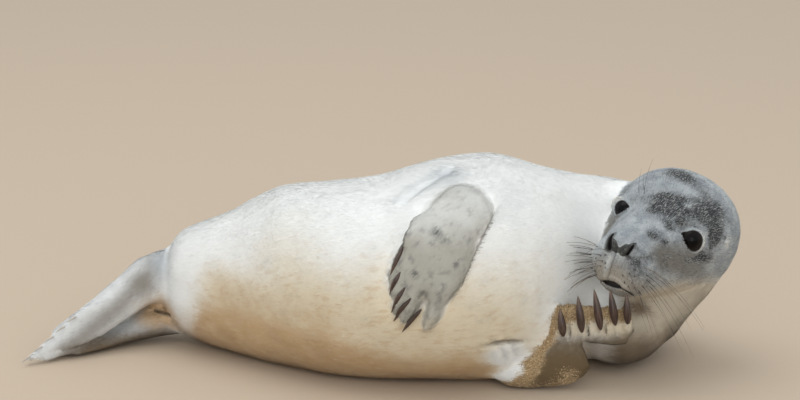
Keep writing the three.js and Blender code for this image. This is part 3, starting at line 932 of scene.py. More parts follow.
PALE_PATCHES = [
    ("brow stripe", (8, 52, -24), (30, 6, 16), 0.45, -6),
    ("between the brows", (29, 36, -1), (4, 4, 6), 0.5),
    ("right forehead", (-30, 40, -8), (18, 12, 22), 0.3),
    ("ear streak", (85, 3, -48), (6, 13, 9), 0.85),
    ("right ear streak", (-85, -1, -49), (5, 9, 8), 0.6),
    ("snout right", (-14, -12, 50), (13, 9, 26), 0.45),
    ("crown rim", (56, 56, -66), (14, 14, 14), 0.35),
    ("right lip rim", (-42, -62, 80), (12, 26, 14), 0.8),
    ("philtrum", (-12, -58, 94), (4, 17, 12), 0.75),
    ("lower lip", (6, -97, 84), (22, 6, 14), 0.7),
]


def all_patches(rows):
    return sum(strength * oval(h, middle, radii, *tilt) for _, middle, radii, strength, *tilt in rows)


dark = all_patches(DARK_PATCHES)
pale = all_patches(PALE_PATCHES)
dark *= 1 - 0.8 * np.clip(pale, 0, 1)
cheek = oval(h, (60, -34, 8), (34, 26, 44)) + oval(h, (34, -30, 50), (20, 16, 26))
cheek += oval(h, (-60, -34, 8), (30, 26, 40))
muzzle_warm = oval(h, (0, -78, 84), (52, 30, 44)) + 0.9 * oval(h, (74, -72, -42), (30, 30, 38))

# %% Rings and rims of the eyes
RING_TURNS = {1: (2.8, 1.6), -1: (2.7, 1.3)}  # where around the eye the pale ring is strongest, its reach

lid_edge = np.zeros(len(h))
eye_inside = np.zeros(len(h))
for side in (1, -1):
    distance, tilt, turn, _ = eye_angles(h, side)
    past = tilt - opening_at(turn, side)
    near = (distance < 40) * (tilt < 110) * head_share
    lid_edge = np.maximum(lid_edge, near * fall(past, 2, 6))
    eye_inside = np.maximum(eye_inside, near * fall(past, -1, 1))
    at_corner = hill(turn - EYES[side]["bays"][0][0], 0.5)
    ring_at, ring_reach = RING_TURNS[side]
    ring = hill(past - 9.5, 5) * (1 - 0.85 * at_corner) * hill(turned_from(turn, ring_at), ring_reach)
    pale += 1.15 * near * ring
    dark *= 1 - near * ring
    dark += 0.55 * near * hill(past - 23, 4) * (1 - at_corner)
print("eye points", int((eye_inside > 0.5).sum()))

# %% Body masks
x, y, z = points.T
on_head_skin, upper_fore, fore_left = masks["head"], masks["fore_right"], masks["fore_left"]
outward_y = normals[:, 1]
hood_back = soft_step(h[:, 2], -118, -88)
hood_edge = -66 - 0.62 * np.clip(h[:, 2] - 8, 0, 70)
hood_height = h[:, 1] + 6 * soft_noise(points, 20, 61) - hood_edge
hood = on_head_skin * hood_back * soft_step(hood_height, -48, 32)
nape_band = soft_step(outward_y, 0.45, 0.9) * soft_step(x, 150, 330) * (1 - on_head_skin)
hind_mask = masks["hind_right"] + masks["hind_left"]
rear = trunk + (hind_mask + masks["tail"]) * soft_step(x, -430, -330)
rump_back = soft_step(y, 100, 130) * fall(x, -300, -240) * rear
neck_back = soft_step(y, 62, 98) * soft_step(x, 310, 370) * (1 - on_head_skin)
saddle = np.clip(soft_step(outward_y, 0.4, 0.9) * rear + nape_band + rump_back + neck_back, 0, 1)
wavy = soft_noise(points, 60, 21)
facing = soft_step(-normals[:, 1] - 0.3 * normals[:, 2], -0.6, 0.4)
cream = trunk * fall(z + 14 * wavy, 105, 265) * fall(x, 150, 300) * soft_step(x, -285, -215)
cream *= 1 - 0.75 * fall(x, -215, -110) * soft_step(z, 110, 165)
low_tan = 0.95 * fall(z + 12 * wavy, 26, 100) * (1 - 0.45 * soft_step(x, 150, 260))
low_tan *= soft_step(x, -290, -240)
rear_tan = 0.62 * fall(z + 20 * wavy, 66, 175) * fall(x, -95, 40) * soft_step(x, -270, -210)
white_patch = np.clip(1.6 * oval(points, (178, -134, 56), (27, 44, 17)), 0, 1)
clean_arm = 1 - white_patch
cream *= clean_arm
front_facing = fall(outward_y, 0.1, 0.6)
olive = on_head_skin * fall(hood_height, -20, 34) * soft_step(-h[:, 1], 30, 64)
olive += trunk * soft_step(x, 296, 350) * soft_step(-h[:, 1], 34, 66)
olive = np.clip(olive, 0, 1) * soft_step(h[:, 0] + 0.25 * h[:, 1], -62, -14) * front_facing
# Painted shadow: dark brown under the chin, and darker low on the throat towards the floor.
throat = oval(h, (22, -117, 6), (19, 12, 26)) + 0.85 * fall(z + 6 * wavy, 30, 106) * soft_step(x, 290, 340)
throat *= front_facing
belly_stain = np.clip(low_tan + rear_tan, 0, 0.95) * trunk * facing * clean_arm
stain = np.clip(belly_stain + 1.05 * stain_ring, 0, 1.5)
# Painted shade: along the folds, in the shoulder's hollow behind the arm, in the fold where the rump meets
# the hind flippers and over the lower hind flipper; a little grey also lies on the white patch of the
# chest.
shade = np.clip(fold_shade + 0.3 * white_patch + 0.45 * oval(points, (104, -52, 288), (34, 40, 26))
                + 0.9 * oval(points, (-308, 60, 140), (22, 54, 52))
                + 0.6 * masks["hind_left"] * soft_step(x, -460, -380), 0, 1)
limb = np.clip(1.15 * (upper_fore + fore_left) - 0.1, 0, 1)
limb *= 1 - 0.6 * soft_step(z, 208, 282) * upper_fore
limb += 0.25 * oval(points, (112, -96, 270), (62, 40, 34))
digits = fore_left * soft_step(z, 60, 84)
limb *= 1 - 0.8 * digits
cream += 0.8 * digits
sandy_tip = oval(points, (72, -182, 112), (20, 40, 24)) * upper_fore
limb *= 1 - 0.45 * sandy_tip
cream += 0.7 * sandy_tip
white_arm = fore_left * fall(x - 0.72 * z, 168, 186)
limb *= 1 - white_arm
hind = np.clip(hind_mask + 0.6 * masks["tail"], 0, 1) * (1 - 0.8 * saddle)
# Painted shade in the furrows between the upper flipper's toes.
dark += 0.3 * furrow_right
ARM_SPOTS = [((79, -153, 237), 9), ((51, -172, 186), 8), ((105, -168, 198), 7),
             ((61, -176, 159), 8), ((88, -156, 226), 6)]
dark += 0.66 * sum(hill(apart(points, at), reach) for at, reach in ARM_SPOTS)

# %% Sand and earth on the flippers, painted shade low on the hind flippers and in hollows, bare skin and leather
palm = fore_left * fall(z + 6 * wavy, 66, 92) * soft_step(x - 0.72 * z, 172, 190)
# Low on the hind flippers and over the lower hind flipper the earth brown is painted shade mixed with wet
# earth; on the lower fore flipper's palm it is earth.
under_hind = hind * fall(z, 8, 34) * soft_step(x, -480, -400)
earth_and_shade = palm * (1 - 0.25 * soft_step(z, 40, 70)) + 0.1 * fore_left * soft_step(z, 66, 92)
earth_and_shade = np.clip(earth_and_shade + 0.6 * under_hind + 0.3 * masks["hind_left"] * soft_step(x, -480, -420), 0, 1)
band = hill(x - 180 - 0.72 * z + 0.0012 * z ** 2 + 7 * soft_noise(points, 14, 71), 13) * (z < 122)
crust = soft_step(z + 5 * soft_noise(points, 9, 72), 86, 104) * fall(z, 128, 146) * soft_step(x, 222, 240)
heel = 0.6 * oval(points, (255, -135, 22), (26, 40, 20))
sand_crust = fore_left * np.clip(band + 0.85 * crust + heel + 0.5 * fall(z, 4, 22), 0, 1)
sand_crust += 0.7 * band * fall(z, 60, 100) * (1 - fore_left) * soft_step(-y, 60, 110)
sand_crust += 0.24 * fall(z, 0, 16) * (1 - fore_left) * soft_step(x, -480, -400)
sand_crust += 0.45 * upper_fore * hill(apart(points, (66, -165, 112)), 18)
nose_x = h[:, 0]
top_edge = -27 - 8 * hill(nose_x + 3.5, 5) + 0.35 * np.clip(nose_x, 0, 20)
bottom_edge = -43.5 + 0.1 * np.clip(nose_x - 2, 0, 20) ** 2
ragged_nose = 2.0 * soft_noise(points, 5, 31) + 1.0 * soft_noise(points, 2.4, 32)
leather = soft_step(top_edge - h[:, 1] + ragged_nose, -1.5, 1.2)
leather *= soft_step(h[:, 1] - bottom_edge + ragged_nose, -1.5, 1.2)
leather *= span(nose_x, -24, -20, 13, 16)
leather = np.clip(np.maximum(leather, 0.95 * nostril_rim), 0, 1) * soft_step(h[:, 2], 70, 80)
# Painted shade in hollows: the nostril slits, the crease beside the groove, the gape and the lips' seam,
# the ear holes, the slit under the tail, the groove under the nose and the gaps between the lower flipper's
# toes are painted near-black; the lids' rims are dark bare skin.
slits = np.maximum(nostril * 1.3, 0.45 * side_crease * front)
toe_gaps = 1.2 * furrow_left * soft_step(z, 60, 84) * fall(z, 90, 112) * fall(x, 312, 318)
hollows = [slits, 1.3 * mouth_dark, lid_edge, ear, vent, 0.4 * lip_groove, toe_gaps]
bare = np.clip(np.maximum.reduce(hollows), 0, 1)

MASKS = {
    "hood": hood, "cheek": np.clip(cheek, 0, 1) * hood,
    "muzzle": np.clip(muzzle_warm, 0, 1) * on_head_skin,
    "dark": np.clip(dark, 0, 1.3), "pale": np.clip(pale, 0, 1), "saddle": saddle, "cream": cream,
    "stain": stain, "shade": shade, "limb": limb, "hind": hind, "earth_and_shade": earth_and_shade,
    "sand": np.clip(sand_crust, 0, 1), "leather": leather, "bare": bare, "follicle": pad,
    "olive": olive, "throat": np.clip(throat, 0, 1), "crease_shade": np.clip(crease_shade + hind_shadow, 0, 1),
}
for name, values in MASKS.items():
    write_mask(skin_mesh, name, values)
write_mask(skin_mesh, "place", points * MM, "FLOAT_VECTOR")
write_mask(skin_mesh, "tone", np.full(len(points), 0.5))
skin = bpy.data.objects.new("seal_skin", skin_mesh)
bpy.context.scene.collection.objects.link(skin)
print({name: round(float(np.mean(values)), 3) for name, values in MASKS.items()})

# %% [markdown]
# ## Fur and skin colours
#
# One node group holds all the markings. It takes the masks and the place on the body, breaks
# the masks' edges with noise at the size of hair clumps, and layers the colours from the
# palest to the darkest, as a painter would. The skin and every coat piece place the same
# group, so the markings run through them without a step. The shaders stay outside the group.

# %% Helpers for node trees
def add_node(tree, kind, **settings):
    made = tree.nodes.new(kind)
    for name, value in settings.items():
        setattr(made, name, value)
    return made


def feed(tree, value, socket):
    if isinstance(value, bpy.types.NodeSocket):
        tree.links.new(value, socket)
    else:
        socket.default_value = value


def sums(tree, operation, first, second=0.0, clamp=False):
    made = add_node(tree, "ShaderNodeMath", operation=operation, use_clamp=clamp)
    feed(tree, first, made.inputs[0])
    feed(tree, second, made.inputs[1])
    return made.outputs[0]


def layer(tree, share, under, over):
    made = add_node(tree, "ShaderNodeMix", data_type="RGBA")
    feed(tree, share, made.inputs[0])
    feed(tree, under, made.inputs[6])
    feed(tree, over, made.inputs[7])
    return made.outputs[2]


def ramp(tree, value, low, high):
    made = add_node(tree, "ShaderNodeMapRange", interpolation_type="SMOOTHSTEP")
    for socket, given in (("Value", value), ("From Min", low), ("From Max", high)):
        feed(tree, given, made.inputs[socket])
    return made.outputs["Result"]


def noise(tree, place, scale, detail=3.0, stretch=(1, 1, 1), roughness=0.55):
    turned = add_node(tree, "ShaderNodeMapping")
    feed(tree, place, turned.inputs["Vector"])
    turned.inputs["Scale"].default_value = stretch
    made = add_node(tree, "ShaderNodeTexNoise")
    given = {"Vector": turned.outputs[0], "Scale": scale, "Detail": detail, "Roughness": roughness}
    for socket, value in given.items():
        feed(tree, value, made.inputs[socket])
    return made.outputs["Fac"]


def bump(tree, height, distance, strength=1.0):
    """A bump from a height, in millimetres, for a shader's Normal."""
    made = add_node(tree, "ShaderNodeBump")
    for socket, value in (("Height", height), ("Distance", distance * MM), ("Strength", strength)):
        feed(tree, value, made.inputs[socket])
    return made.outputs["Normal"]


# %% The markings group
markings = bpy.data.node_groups.new("seal_markings", "ShaderNodeTree")
markings.interface.new_socket("place", in_out="INPUT", socket_type="NodeSocketVector")
for name in [*MASKS, "tone"]:
    markings.interface.new_socket(name, in_out="INPUT", socket_type="NodeSocketFloat")
markings.interface.new_socket("Color", in_out="OUTPUT", socket_type="NodeSocketColor")
markings.interface.new_socket("Roughness", in_out="OUTPUT", socket_type="NodeSocketFloat")
markings.interface.new_socket("Height", in_out="OUTPUT", socket_type="NodeSocketFloat")
group_in = markings.nodes.new("NodeGroupInput").outputs
group_out = markings.nodes.new("NodeGroupOutput").inputs

WHITE = colour(237, 238, 235)
CREAM = colour(220, 209, 184)
TAN = colour(194, 161, 117)
BROWN = colour(104, 76, 46)
HOOD_GREY = colour(146, 152, 156)
HOOD_PALE = colour(178, 183, 184)
CHEEK = colour(116, 111, 102)
MUZZLE = colour(160, 150, 134)
DAPPLE = colour(44, 46, 48)
RING = colour(226, 223, 213)
# the grey of the painted shade in folds and hollows, also used for faint random mottles
SHADE_GREY = colour(166, 172, 176)
LIMB_GREY = colour(180, 178, 167)
LIMB_SPOT = colour(132, 130, 127)
HIND_PALE = colour(222, 223, 221)
HIND_SPOT = colour(172, 175, 178)
SADDLE_GREY = colour(176, 180, 182)
SADDLE_SPOT = colour(112, 116, 120)
OLIVE = colour(192, 182, 163)
# the painted shadow under the chin and low on the throat
THROAT_SHADE = colour(98, 79, 55)
# the brown of the painted shade in creases and under the hind flipper's edge
CREASE_SHADE = colour(120, 110, 96)
# earth on the palm, and painted shade with wet earth low on the hind flippers
EARTH_AND_SHADE = colour(102, 82, 52)
SAND = colour(194, 171, 134)
SAND_DARK = colour(142, 118, 86)
LEATHER = colour(88, 90, 85)
LEATHER_DARK = colour(44, 46, 46)
# the near-black of bare skin and of the painted shade in hollows
BARE_SKIN_AND_SHADE = colour(16, 14, 15)
BARE_SKIN_AND_SHADE_BROWN = colour(30, 22, 18)
FOLLICLE = colour(62, 58, 55)

place = group_in["place"]
broad = noise(markings, place, 14, 3)
middling = noise(markings, place, 52, 4)
mottle = noise(markings, place, 85, 4)
clumps = noise(markings, place, 190, 4, roughness=0.7)
hairs = noise(markings, place, 420, 2, stretch=(0.35, 1, 1))
specks = noise(markings, place, 640, 2, roughness=0.7)
waves = noise(markings, place, 150, 3, stretch=(0.45, 1, 1))


def times(*values):
    """The product of several masks."""
    product = values[0]
    for value in values[1:]:
        product = sums(markings, "MULTIPLY", product, value)
    return product


def ragged(mask, source, amount, low, high):
    """A mask whose edge is broken by a noise: amount says how far the noise reaches into it."""
    centred = times(sums(markings, "SUBTRACT", source, 0.5), amount)
    return ramp(markings, sums(markings, "ADD", mask, centred), low, high)


def fade_in(value, low, high):
    return ramp(markings, value, low, high)


def plus(first, second):
    return sums(markings, "ADD", first, second)


def paint(share, over):
    """Lays a colour over what is painted so far."""
    global base
    base = layer(markings, share, base, over)


def paint_mask(mask, source, amount, low, high, strength, over):
    """Lays a colour over a mask with a ragged edge."""
    paint(times(ragged(group_in[mask], source, amount, low, high), strength), over)


base = layer(markings, ragged(group_in["cream"], broad, 0.5, 0.1, 1.05), WHITE, CREAM)
paint(times(fade_in(middling, 0.60, 0.74), 0.2), SHADE_GREY)
paint(times(fade_in(waves, 0.52, 0.66), group_in["cream"], 0.4), TAN)
paint_mask("saddle", broad, 0.7, 0.2, 0.95, 0.8, SADDLE_GREY)
paint(times(fade_in(middling, 0.54, 0.64), fade_in(group_in["saddle"], 0.1, 0.8)), SADDLE_SPOT)
hind_share = ragged(group_in["hind"], broad, 0.4, 0.1, 0.9)
paint(hind_share, layer(markings, times(fade_in(mottle, 0.56, 0.70), 0.45), HIND_PALE, HIND_SPOT))
limb_share = ragged(group_in["limb"], broad, 0.6, 0.15, 1.1)
paint(limb_share, LIMB_GREY)
paint(times(fade_in(mottle, 0.52, 0.68), limb_share, 0.72), LIMB_SPOT)
# Painted shade of the folds and hollows.
paint_mask("shade", middling, 0.4, 0.0, 1.1, 0.9, SHADE_GREY)
patchy = plus(times(middling, 0.45), times(plus(clumps, waves), 0.275))
stain_share = ragged(group_in["stain"], patchy, 1.25, 0.08, 1.2)
paint(times(stain_share, 0.95), TAN)
paint(times(fade_in(waves, 0.53, 0.66), stain_share, 0.35), CREAM)
paint(fade_in(group_in["stain"], 1.0, 1.5), BROWN)
# Painted shade in the creases and under the hind flipper's edge.
paint_mask("crease_shade", clumps, 0.3, 0.1, 0.9, 0.8, CREASE_SHADE)
# Earth on the palm, and painted shade with wet earth low on the hind flippers.
paint_mask("earth_and_shade", clumps, 0.5, 0.05, 1.0, 0.95, EARTH_AND_SHADE)
hood_share = ragged(group_in["hood"], middling, 0.35, 0.1, 0.9)
paint(hood_share, layer(markings, fade_in(middling, 0.36, 0.66), HOOD_GREY, HOOD_PALE))
paint_mask("cheek", clumps, 0.35, 0.05, 1.0, 0.9, CHEEK)
paint_mask("muzzle", clumps, 0.35, 0.1, 1.0, 0.85, MUZZLE)
fine_clumps = plus(times(clumps, 0.55), times(specks, 0.45))
paint_mask("olive", middling, 0.4, 0.05, 1.0, 0.95, OLIVE)
# Painted shadow under the chin and low on the throat.
paint_mask("throat", middling, 0.4, 0.05, 1.0, 0.9, THROAT_SHADE)
dark_share = ragged(group_in["dark"], fine_clumps, 1.9, 0.12, 1.0)
paint(times(dark_share, 0.96), DAPPLE)
pale_specks = times(fade_in(specks, 0.60, 0.70), fade_in(group_in["dark"], 0.25, 0.8), 0.5)
paint(pale_specks, HOOD_PALE)
grey_specks = times(fade_in(clumps, 0.58, 0.68), hood_share, 0.30)
paint(grey_specks, DAPPLE)
paint_mask("pale", clumps, 0.6, 0.05, 0.6, 0.85, HOOD_PALE)
paint_mask("pale", clumps, 0.6, 0.4, 1.1, 0.9, RING)
pale_hairs = times(fade_in(group_in["tone"], 0.68, 0.88), fade_in(group_in["dark"], 0.2, 0.7), 0.6)
paint(pale_hairs, layer(markings, 0.4, HOOD_PALE, RING))
dark_tone = sums(markings, "SUBTRACT", 1.0, group_in["tone"])
paint(times(fade_in(dark_tone, 0.70, 0.90), hood_share, 0.5), DAPPLE)
paint(fade_in(group_in["follicle"], 0.35, 0.85), FOLLICLE)
sand_share = ragged(group_in["sand"], clumps, 1.1, 0.3, 0.75)
paint(sand_share, layer(markings, fade_in(specks, 0.42, 0.6), SAND_DARK, SAND))
toned = add_node(markings, "ShaderNodeHueSaturation")
feed(markings, base, toned.inputs["Color"])
lightness = plus(times(group_in["tone"], 0.22), times(hairs, 0.08))
feed(markings, plus(lightness, 0.85), toned.inputs["Value"])
base = toned.outputs["Color"]
leather_share = fade_in(group_in["leather"], 0.2, 0.75)
paint(leather_share, layer(markings, fade_in(fine_clumps, 0.42, 0.64), LEATHER_DARK, LEATHER))
# Dark bare skin, and painted shade in the hollows.
bare_share = fade_in(group_in["bare"], 0.2, 0.7)
paint(bare_share, layer(markings, fade_in(specks, 0.35, 0.65), BARE_SKIN_AND_SHADE, BARE_SKIN_AND_SHADE_BROWN))
feed(markings, base, group_out["Color"])
rough = sums(markings, "SUBTRACT", 0.74, times(sums(markings, "MAXIMUM", bare_share, leather_share), 0.3))
feed(markings, plus(rough, times(sand_share, 0.2)), group_out["Roughness"])
rough_skin = plus(times(sand_share, 1.6), times(leather_share, 1.4))
grain = times(specks, plus(rough_skin, 0.25))
feed(markings, plus(times(hairs, 0.8), grain), group_out["Height"])
print("markings group", len(markings.nodes), "nodes")

# %% [markdown]
# ### Skin and coat materials
#
# The masks reach the group through Attribute nodes, which read the numbers stored on each
# mesh. The skin adds a fine bump for the hair that lies flat between the tufts. The coat has
# a little sheen, the soft edge light that short hair gives.

# %% Build both materials
def marked_material(name, sheen, bump_height):
    material, tree, sockets = new_material(
        name, Sheen_Weight=sheen, Sheen_Roughness=0.5, Specular_IOR_Level=0.3)
    group = add_node(tree, "ShaderNodeGroup", node_tree=markings)
    for mask in [*MASKS, "tone"]:
        source = add_node(tree, "ShaderNodeAttribute", attribute_name=mask)
        tree.links.new(source.outputs["Fac"], group.inputs[mask])
    source = add_node(tree, "ShaderNodeAttribute", attribute_name="place")
    tree.links.new(source.outputs["Vector"], group.inputs["place"])
    tree.links.new(group.outputs["Color"], sockets["Base Color"])
    tree.links.new(group.outputs["Roughness"], sockets["Roughness"])
    if bump_height:
        tree.links.new(bump(tree, group.outputs["Height"], bump_height, 0.6), sockets["Normal"])
    return material


skin_material = marked_material("seal_skin_finish", 0.08, 0.9)
coat_material = marked_material("seal_coat_finish", 0.12, 0)
skin_mesh.materials.append(skin_material)
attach(skin, "root")
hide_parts(*[node for members in FLESH.values() for node in members])

# %% [markdown]
# ## The coat
#
# A pup's coat is short and lies flat, so each tuft is a thin pointed blade a few
# millimetres long, rooted in the skin and lying along the hair's own way with its tip just
# lifted. Tufts overlap like thatch. They are longest on the flanks, short on the feet and
# tiny around the eyes and the nose, and none grow on bare skin. About half a million
# blades of two triangles each break up the outline and the light on every side, at a cost
# that a renderer handles easily.

# %% How long, wide and dense the tufts are
TUFT_LENGTH = [5.5, 9, 7, 7, 5.5, 7, 7]  # for each region in turn, as in FLESH
TUFT_WIDTH = [0.9, 0.95, 1.1, 1.1, 0.9, 1.1, 1.1]
TUFT_RISE = [0.45, 0.28, 0.6, 0.6, 0.5, 0.6, 0.6]
COVER = 2.5  # how many tufts lie over each spot

to_nose = apart(h, (0, -45, 88))
to_eye = np.min([apart(h, mirrored(EYE_IN_HEAD, side)) for side in (1, -1)], axis=0)
face_share = np.maximum(fall(to_nose, 35, 95), fall(to_eye, 22, 46))
tuft_length = mixed(TUFT_LENGTH, masks) * (1 - 0.5 * face_share)
tuft_width = mixed(TUFT_WIDTH, masks) * (1 - 0.35 * face_share)
tuft_rise = mixed(TUFT_RISE, masks) * (1 - 0.35 * face_share)
bare_spots = [1.4 * leather, 1.6 * mouth_dark, 1.5 * lid_edge, 1.4 * ear, nostril, 0.6 * vent]
hairless = np.clip(np.maximum.reduce(bare_spots), 0, 1)
growth = fall(hairless, 0.15, 0.55) * soft_step(z, 1.2, 3.5)
density = COVER * growth / (0.5 * tuft_length * tuft_width)
streaks = soft_noise(points, (30, 7, 7), 41) + 0.6 * soft_noise(points, (14, 4, 4), 43)

# %% Choose the roots
rng = np.random.default_rng(7)
triangles = triangles_of(skin_mesh)
corners = points[triangles]
areas = 0.5 * np.linalg.norm(np.cross(corners[:, 1] - corners[:, 0], corners[:, 2] - corners[:, 0]), axis=1)
counts = rng.poisson(areas * density[triangles].mean(axis=1))
chosen = np.repeat(triangles, counts, axis=0)
first, second = rng.random(len(chosen)), rng.random(len(chosen))
flip = first + second > 1
first, second = np.where(flip, 1 - first, first), np.where(flip, 1 - second, second)
shares = np.stack([1 - first - second, first, second], axis=1)


def at_roots(values):
    values = np.asarray(values)
    weights = shares if values.ndim == 1 else shares[:, :, None]
    return sum(values[chosen[:, corner]] * weights[:, corner] for corner in range(3))


roots = at_roots(points)
root_normals = unit(at_roots(normals))
root_lie = at_roots(lie)
root_lie = unit(root_lie - root_normals * np.einsum("ij,ij->i", root_lie, root_normals)[:, None])
print("tufts", len(roots))

# %% The four points of each tuft
WANDER = 0.16  # how far a tuft's way strays from the coat's own
ROLL = 0.10  # how far a tuft turns about its own length
BEND = 0.09  # sideways curve for its length
MOST_BEND = 3  # the most half widths a tip may move aside: further, and the tuft folds over
ROOT_DEPTH = 0.22
MIDDLE = 0.42  # where along its length a tuft is widest
EDGE_DROP = 0.12  # its edges lie lower than its middle line
LOWEST = 0.25  # the coat stays off the floor

side_way = np.cross(root_normals, root_lie)
root_lie = unit(root_lie + side_way * (WANDER * rng.normal(size=len(roots))[:, None]))
side_way = np.cross(root_normals, root_lie)
spread = 0.75 + 0.5 * rng.random(len(roots))
length = (at_roots(tuft_length) * spread)[:, None]
half = (0.5 * at_roots(tuft_width) * (0.8 + 0.4 * rng.random(len(roots))))[:, None]
rise = (at_roots(tuft_rise) * (0.6 + 0.6 * rng.random(len(roots)) + 0.12 * at_roots(streaks)))[:, None]
roll = ROLL * half * rng.normal(size=(len(roots), 1))
bend = np.clip(BEND * length * rng.normal(size=(len(roots), 1)), -MOST_BEND * half, MOST_BEND * half)
base_point = roots - ROOT_DEPTH * root_normals
middle = roots + root_lie * MIDDLE * length + side_way * 0.2 * bend + root_normals * 0.62 * rise
left_point = middle + side_way * half + root_normals * (roll - EDGE_DROP * half)
right_point = middle - side_way * half - root_normals * (roll + EDGE_DROP * half)
tip_point = roots + root_lie * length + side_way * bend + root_normals * np.maximum(rise, 0.15)
tufts = np.stack([base_point, right_point, tip_point, left_point], axis=1)
tufts[:, :, 2] = np.maximum(tufts[:, :, 2], LOWEST)
tone_spread = 0.09 + 0.19 * at_roots(masks["head"])
tuft_tone = np.clip(0.5 + tone_spread * rng.normal(size=len(roots)) + 0.06 * at_roots(streaks), 0, 1)
tuft_masks = {name: at_roots(values) for name, values in MASKS.items()}
print("longest tuft", round(float(length.max()), 1), "mm")

# %% [markdown]
# ### An unwrap of the body for the coat
#
# Each tuft is so thin that a baked picture can't give it a face of its own. Instead it gets a
# tiny patch of the picture, at its root's place on a flat map of the skin: the trunk unrolls
# about its spine, the head opens out from the nose like a flattened globe, and each flipper
# lies as two sides next to each other.

# %% Flat maps of each region
SLICE_HALF = 24
trunk_points = points[masks["trunk"] > 0.6]
slices = np.linspace(-330, 440, 40)
slabs = [trunk_points[np.abs(trunk_points[:, 0] - at) < SLICE_HALF] for at in slices]
slabs = [slab for slab in slabs if len(slab)]
slices = slices[:len(slabs)]
spine_y, spine_z = ([np.ptp(slab[:, axis]) / 2 + slab[:, axis].min() for slab in slabs] for axis in (1, 2))
print("slices of the trunk", len(slices))


def trunk_map(at):
    across = at[:, 1] - np.interp(at[:, 0], slices, spine_y)
    upward = at[:, 2] - np.interp(at[:, 0], slices, spine_z)
    return np.stack([at[:, 0] / 1000, (np.arctan2(across, upward) / (2 * math.pi) + 0.5)], axis=1)


def head_map(at):
    away = unit(to_head(at) - np.array([0, -20, -30]))
    opened = np.degrees(np.arccos(np.clip(away[:, 2], -1, 1))) / 180
    turn = np.arctan2(away[:, 1], away[:, 0])
    return np.stack([opened * np.cos(turn), opened * np.sin(turn)], axis=1)


def flipper_map(at, facing, face_way):
    across = unit(np.cross(face_way, (0.3, 0.2, 1)))
    upward = np.cross(face_way, across)
    flat = np.stack([at @ across, at @ upward], axis=1)
    flat = (flat - flat.min(axis=0)) / np.ptp(flat, axis=0)
    front = facing @ unit(face_way) > 0
    flat[:, 0] = flat[:, 0] * 0.48 + np.where(front, 0, 0.52)
    return flat


# %% Split the coat into pieces and make their meshes
PATCH = 0.0015  # half of a tuft's place on the map
region_at_root = np.argmax(np.stack([at_roots(masks[region]) for region in REGIONS], axis=1), axis=1)
is_trunk = region_at_root == REGIONS.index("trunk")
BANDS = [-400, -215, -120, -40, 40, 120, 200, 275, 350, 500]
coat_parts = {
    f"coat_trunk_{index + 1}": (is_trunk & (roots[:, 0] >= low) & (roots[:, 0] < high), "trunk")
    for index, (low, high) in enumerate(zip(BANDS, BANDS[1:]))
}
for region in REGIONS:
    if region not in ("trunk", "head"):
        coat_parts[f"coat_{region}"] = (region_at_root == REGIONS.index(region), region)
on_head = region_at_root == REGIONS.index("head")
in_front = to_head(roots)[:, 2] > 0
coat_parts["coat_face"] = (on_head & in_front, "head")
coat_parts["coat_crown"] = (on_head & ~in_front, "head")
FACE_WAYS = {"fore_right": (-0.2, -0.8, 0.5), "fore_left": (0, -1, 0.1), "hind_right": (0.3, -0.6, 0.74),
             "hind_left": (0, -0.2, 1), "tail": (0, 0, 1)}
PATCH_CORNERS = np.array([(-1, 0), (0, -1), (1, 0), (0, 1)]) * PATCH


def coat_piece(name, taken, region):
    count = int(taken.sum())
    corners = tufts[taken].reshape(-1, 3)
    first = np.arange(count)[:, None] * 4
    faces = np.concatenate([first + (0, 1, 2), first + (0, 2, 3)])
    piece = new_object(name, corners, faces)
    mesh = piece.data
    if region == "trunk":
        flat = trunk_map(roots[taken])
    elif region == "head":
        flat = head_map(roots[taken])
    else:
        flat = flipper_map(roots[taken], root_normals[taken], FACE_WAYS[region])
    flat = 0.01 + 0.98 * (flat - flat.min(axis=0)) / np.ptp(flat, axis=0)
    places = (flat[:, None, :] + PATCH_CORNERS[None]).reshape(-1, 2)
    loops = read(mesh.loops, "vertex_index", 1, np.int32)[:, 0]
    mesh.uv_layers.new(name="OFBake").data.foreach_set("uv", places[loops].ravel())
    for mask, values in tuft_masks.items():
        write_mask(mesh, mask, np.repeat(values[taken], 4))
    write_mask(mesh, "place", np.repeat(roots[taken], 4, axis=0) * MM, "FLOAT_VECTOR")
    write_mask(mesh, "tone", np.repeat(tuft_tone[taken], 4))
    shade_smooth(mesh)
    over = unit(normals_of(mesh) * 0.25 + np.repeat(root_normals[taken], 4, axis=0))
    mesh.normals_split_custom_set_from_vertices(over.tolist())
    mesh.materials.append(coat_material)
    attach(piece, "root")
    return count * 2


coat_triangles = {name: coat_piece(name, taken, region) for name, (taken, region) in coat_parts.items()}
print(coat_triangles, "in all", sum(coat_triangles.values()))

# %% [markdown]
# ## Eyes
#
# A seal's eye is nearly black: a wide pupil, a very dark brown iris and a wet surface that
# mirrors the sky. The ball is a sphere with a slightly bulged cornea over the iris. A ring
# mask, the angle from the way the eye looks, tells the pupil from the iris and its dark edge.

# %% The eye balls
def eye_material():
    material, tree, sockets = new_material("wet_eye", Roughness=0.1, Specular_IOR_Level=0.12)
    ring = add_node(tree, "ShaderNodeAttribute", attribute_name="ring").outputs["Fac"]
    fibres = noise(tree, add_node(tree, "ShaderNodeTexCoord").outputs["Object"], 900, 3)
    iris = layer(tree, ramp(tree, fibres, 0.35, 0.7), colour(8, 6, 6), colour(18, 13, 11))
    shade = layer(tree, ramp(tree, ring, 0.19, 0.24), colour(4, 4, 5), iris)
    shade = layer(tree, ramp(tree, ring, 0.36, 0.44), shade, colour(22, 18, 15))
    tree.links.new(shade, sockets["Base Color"])
    return material


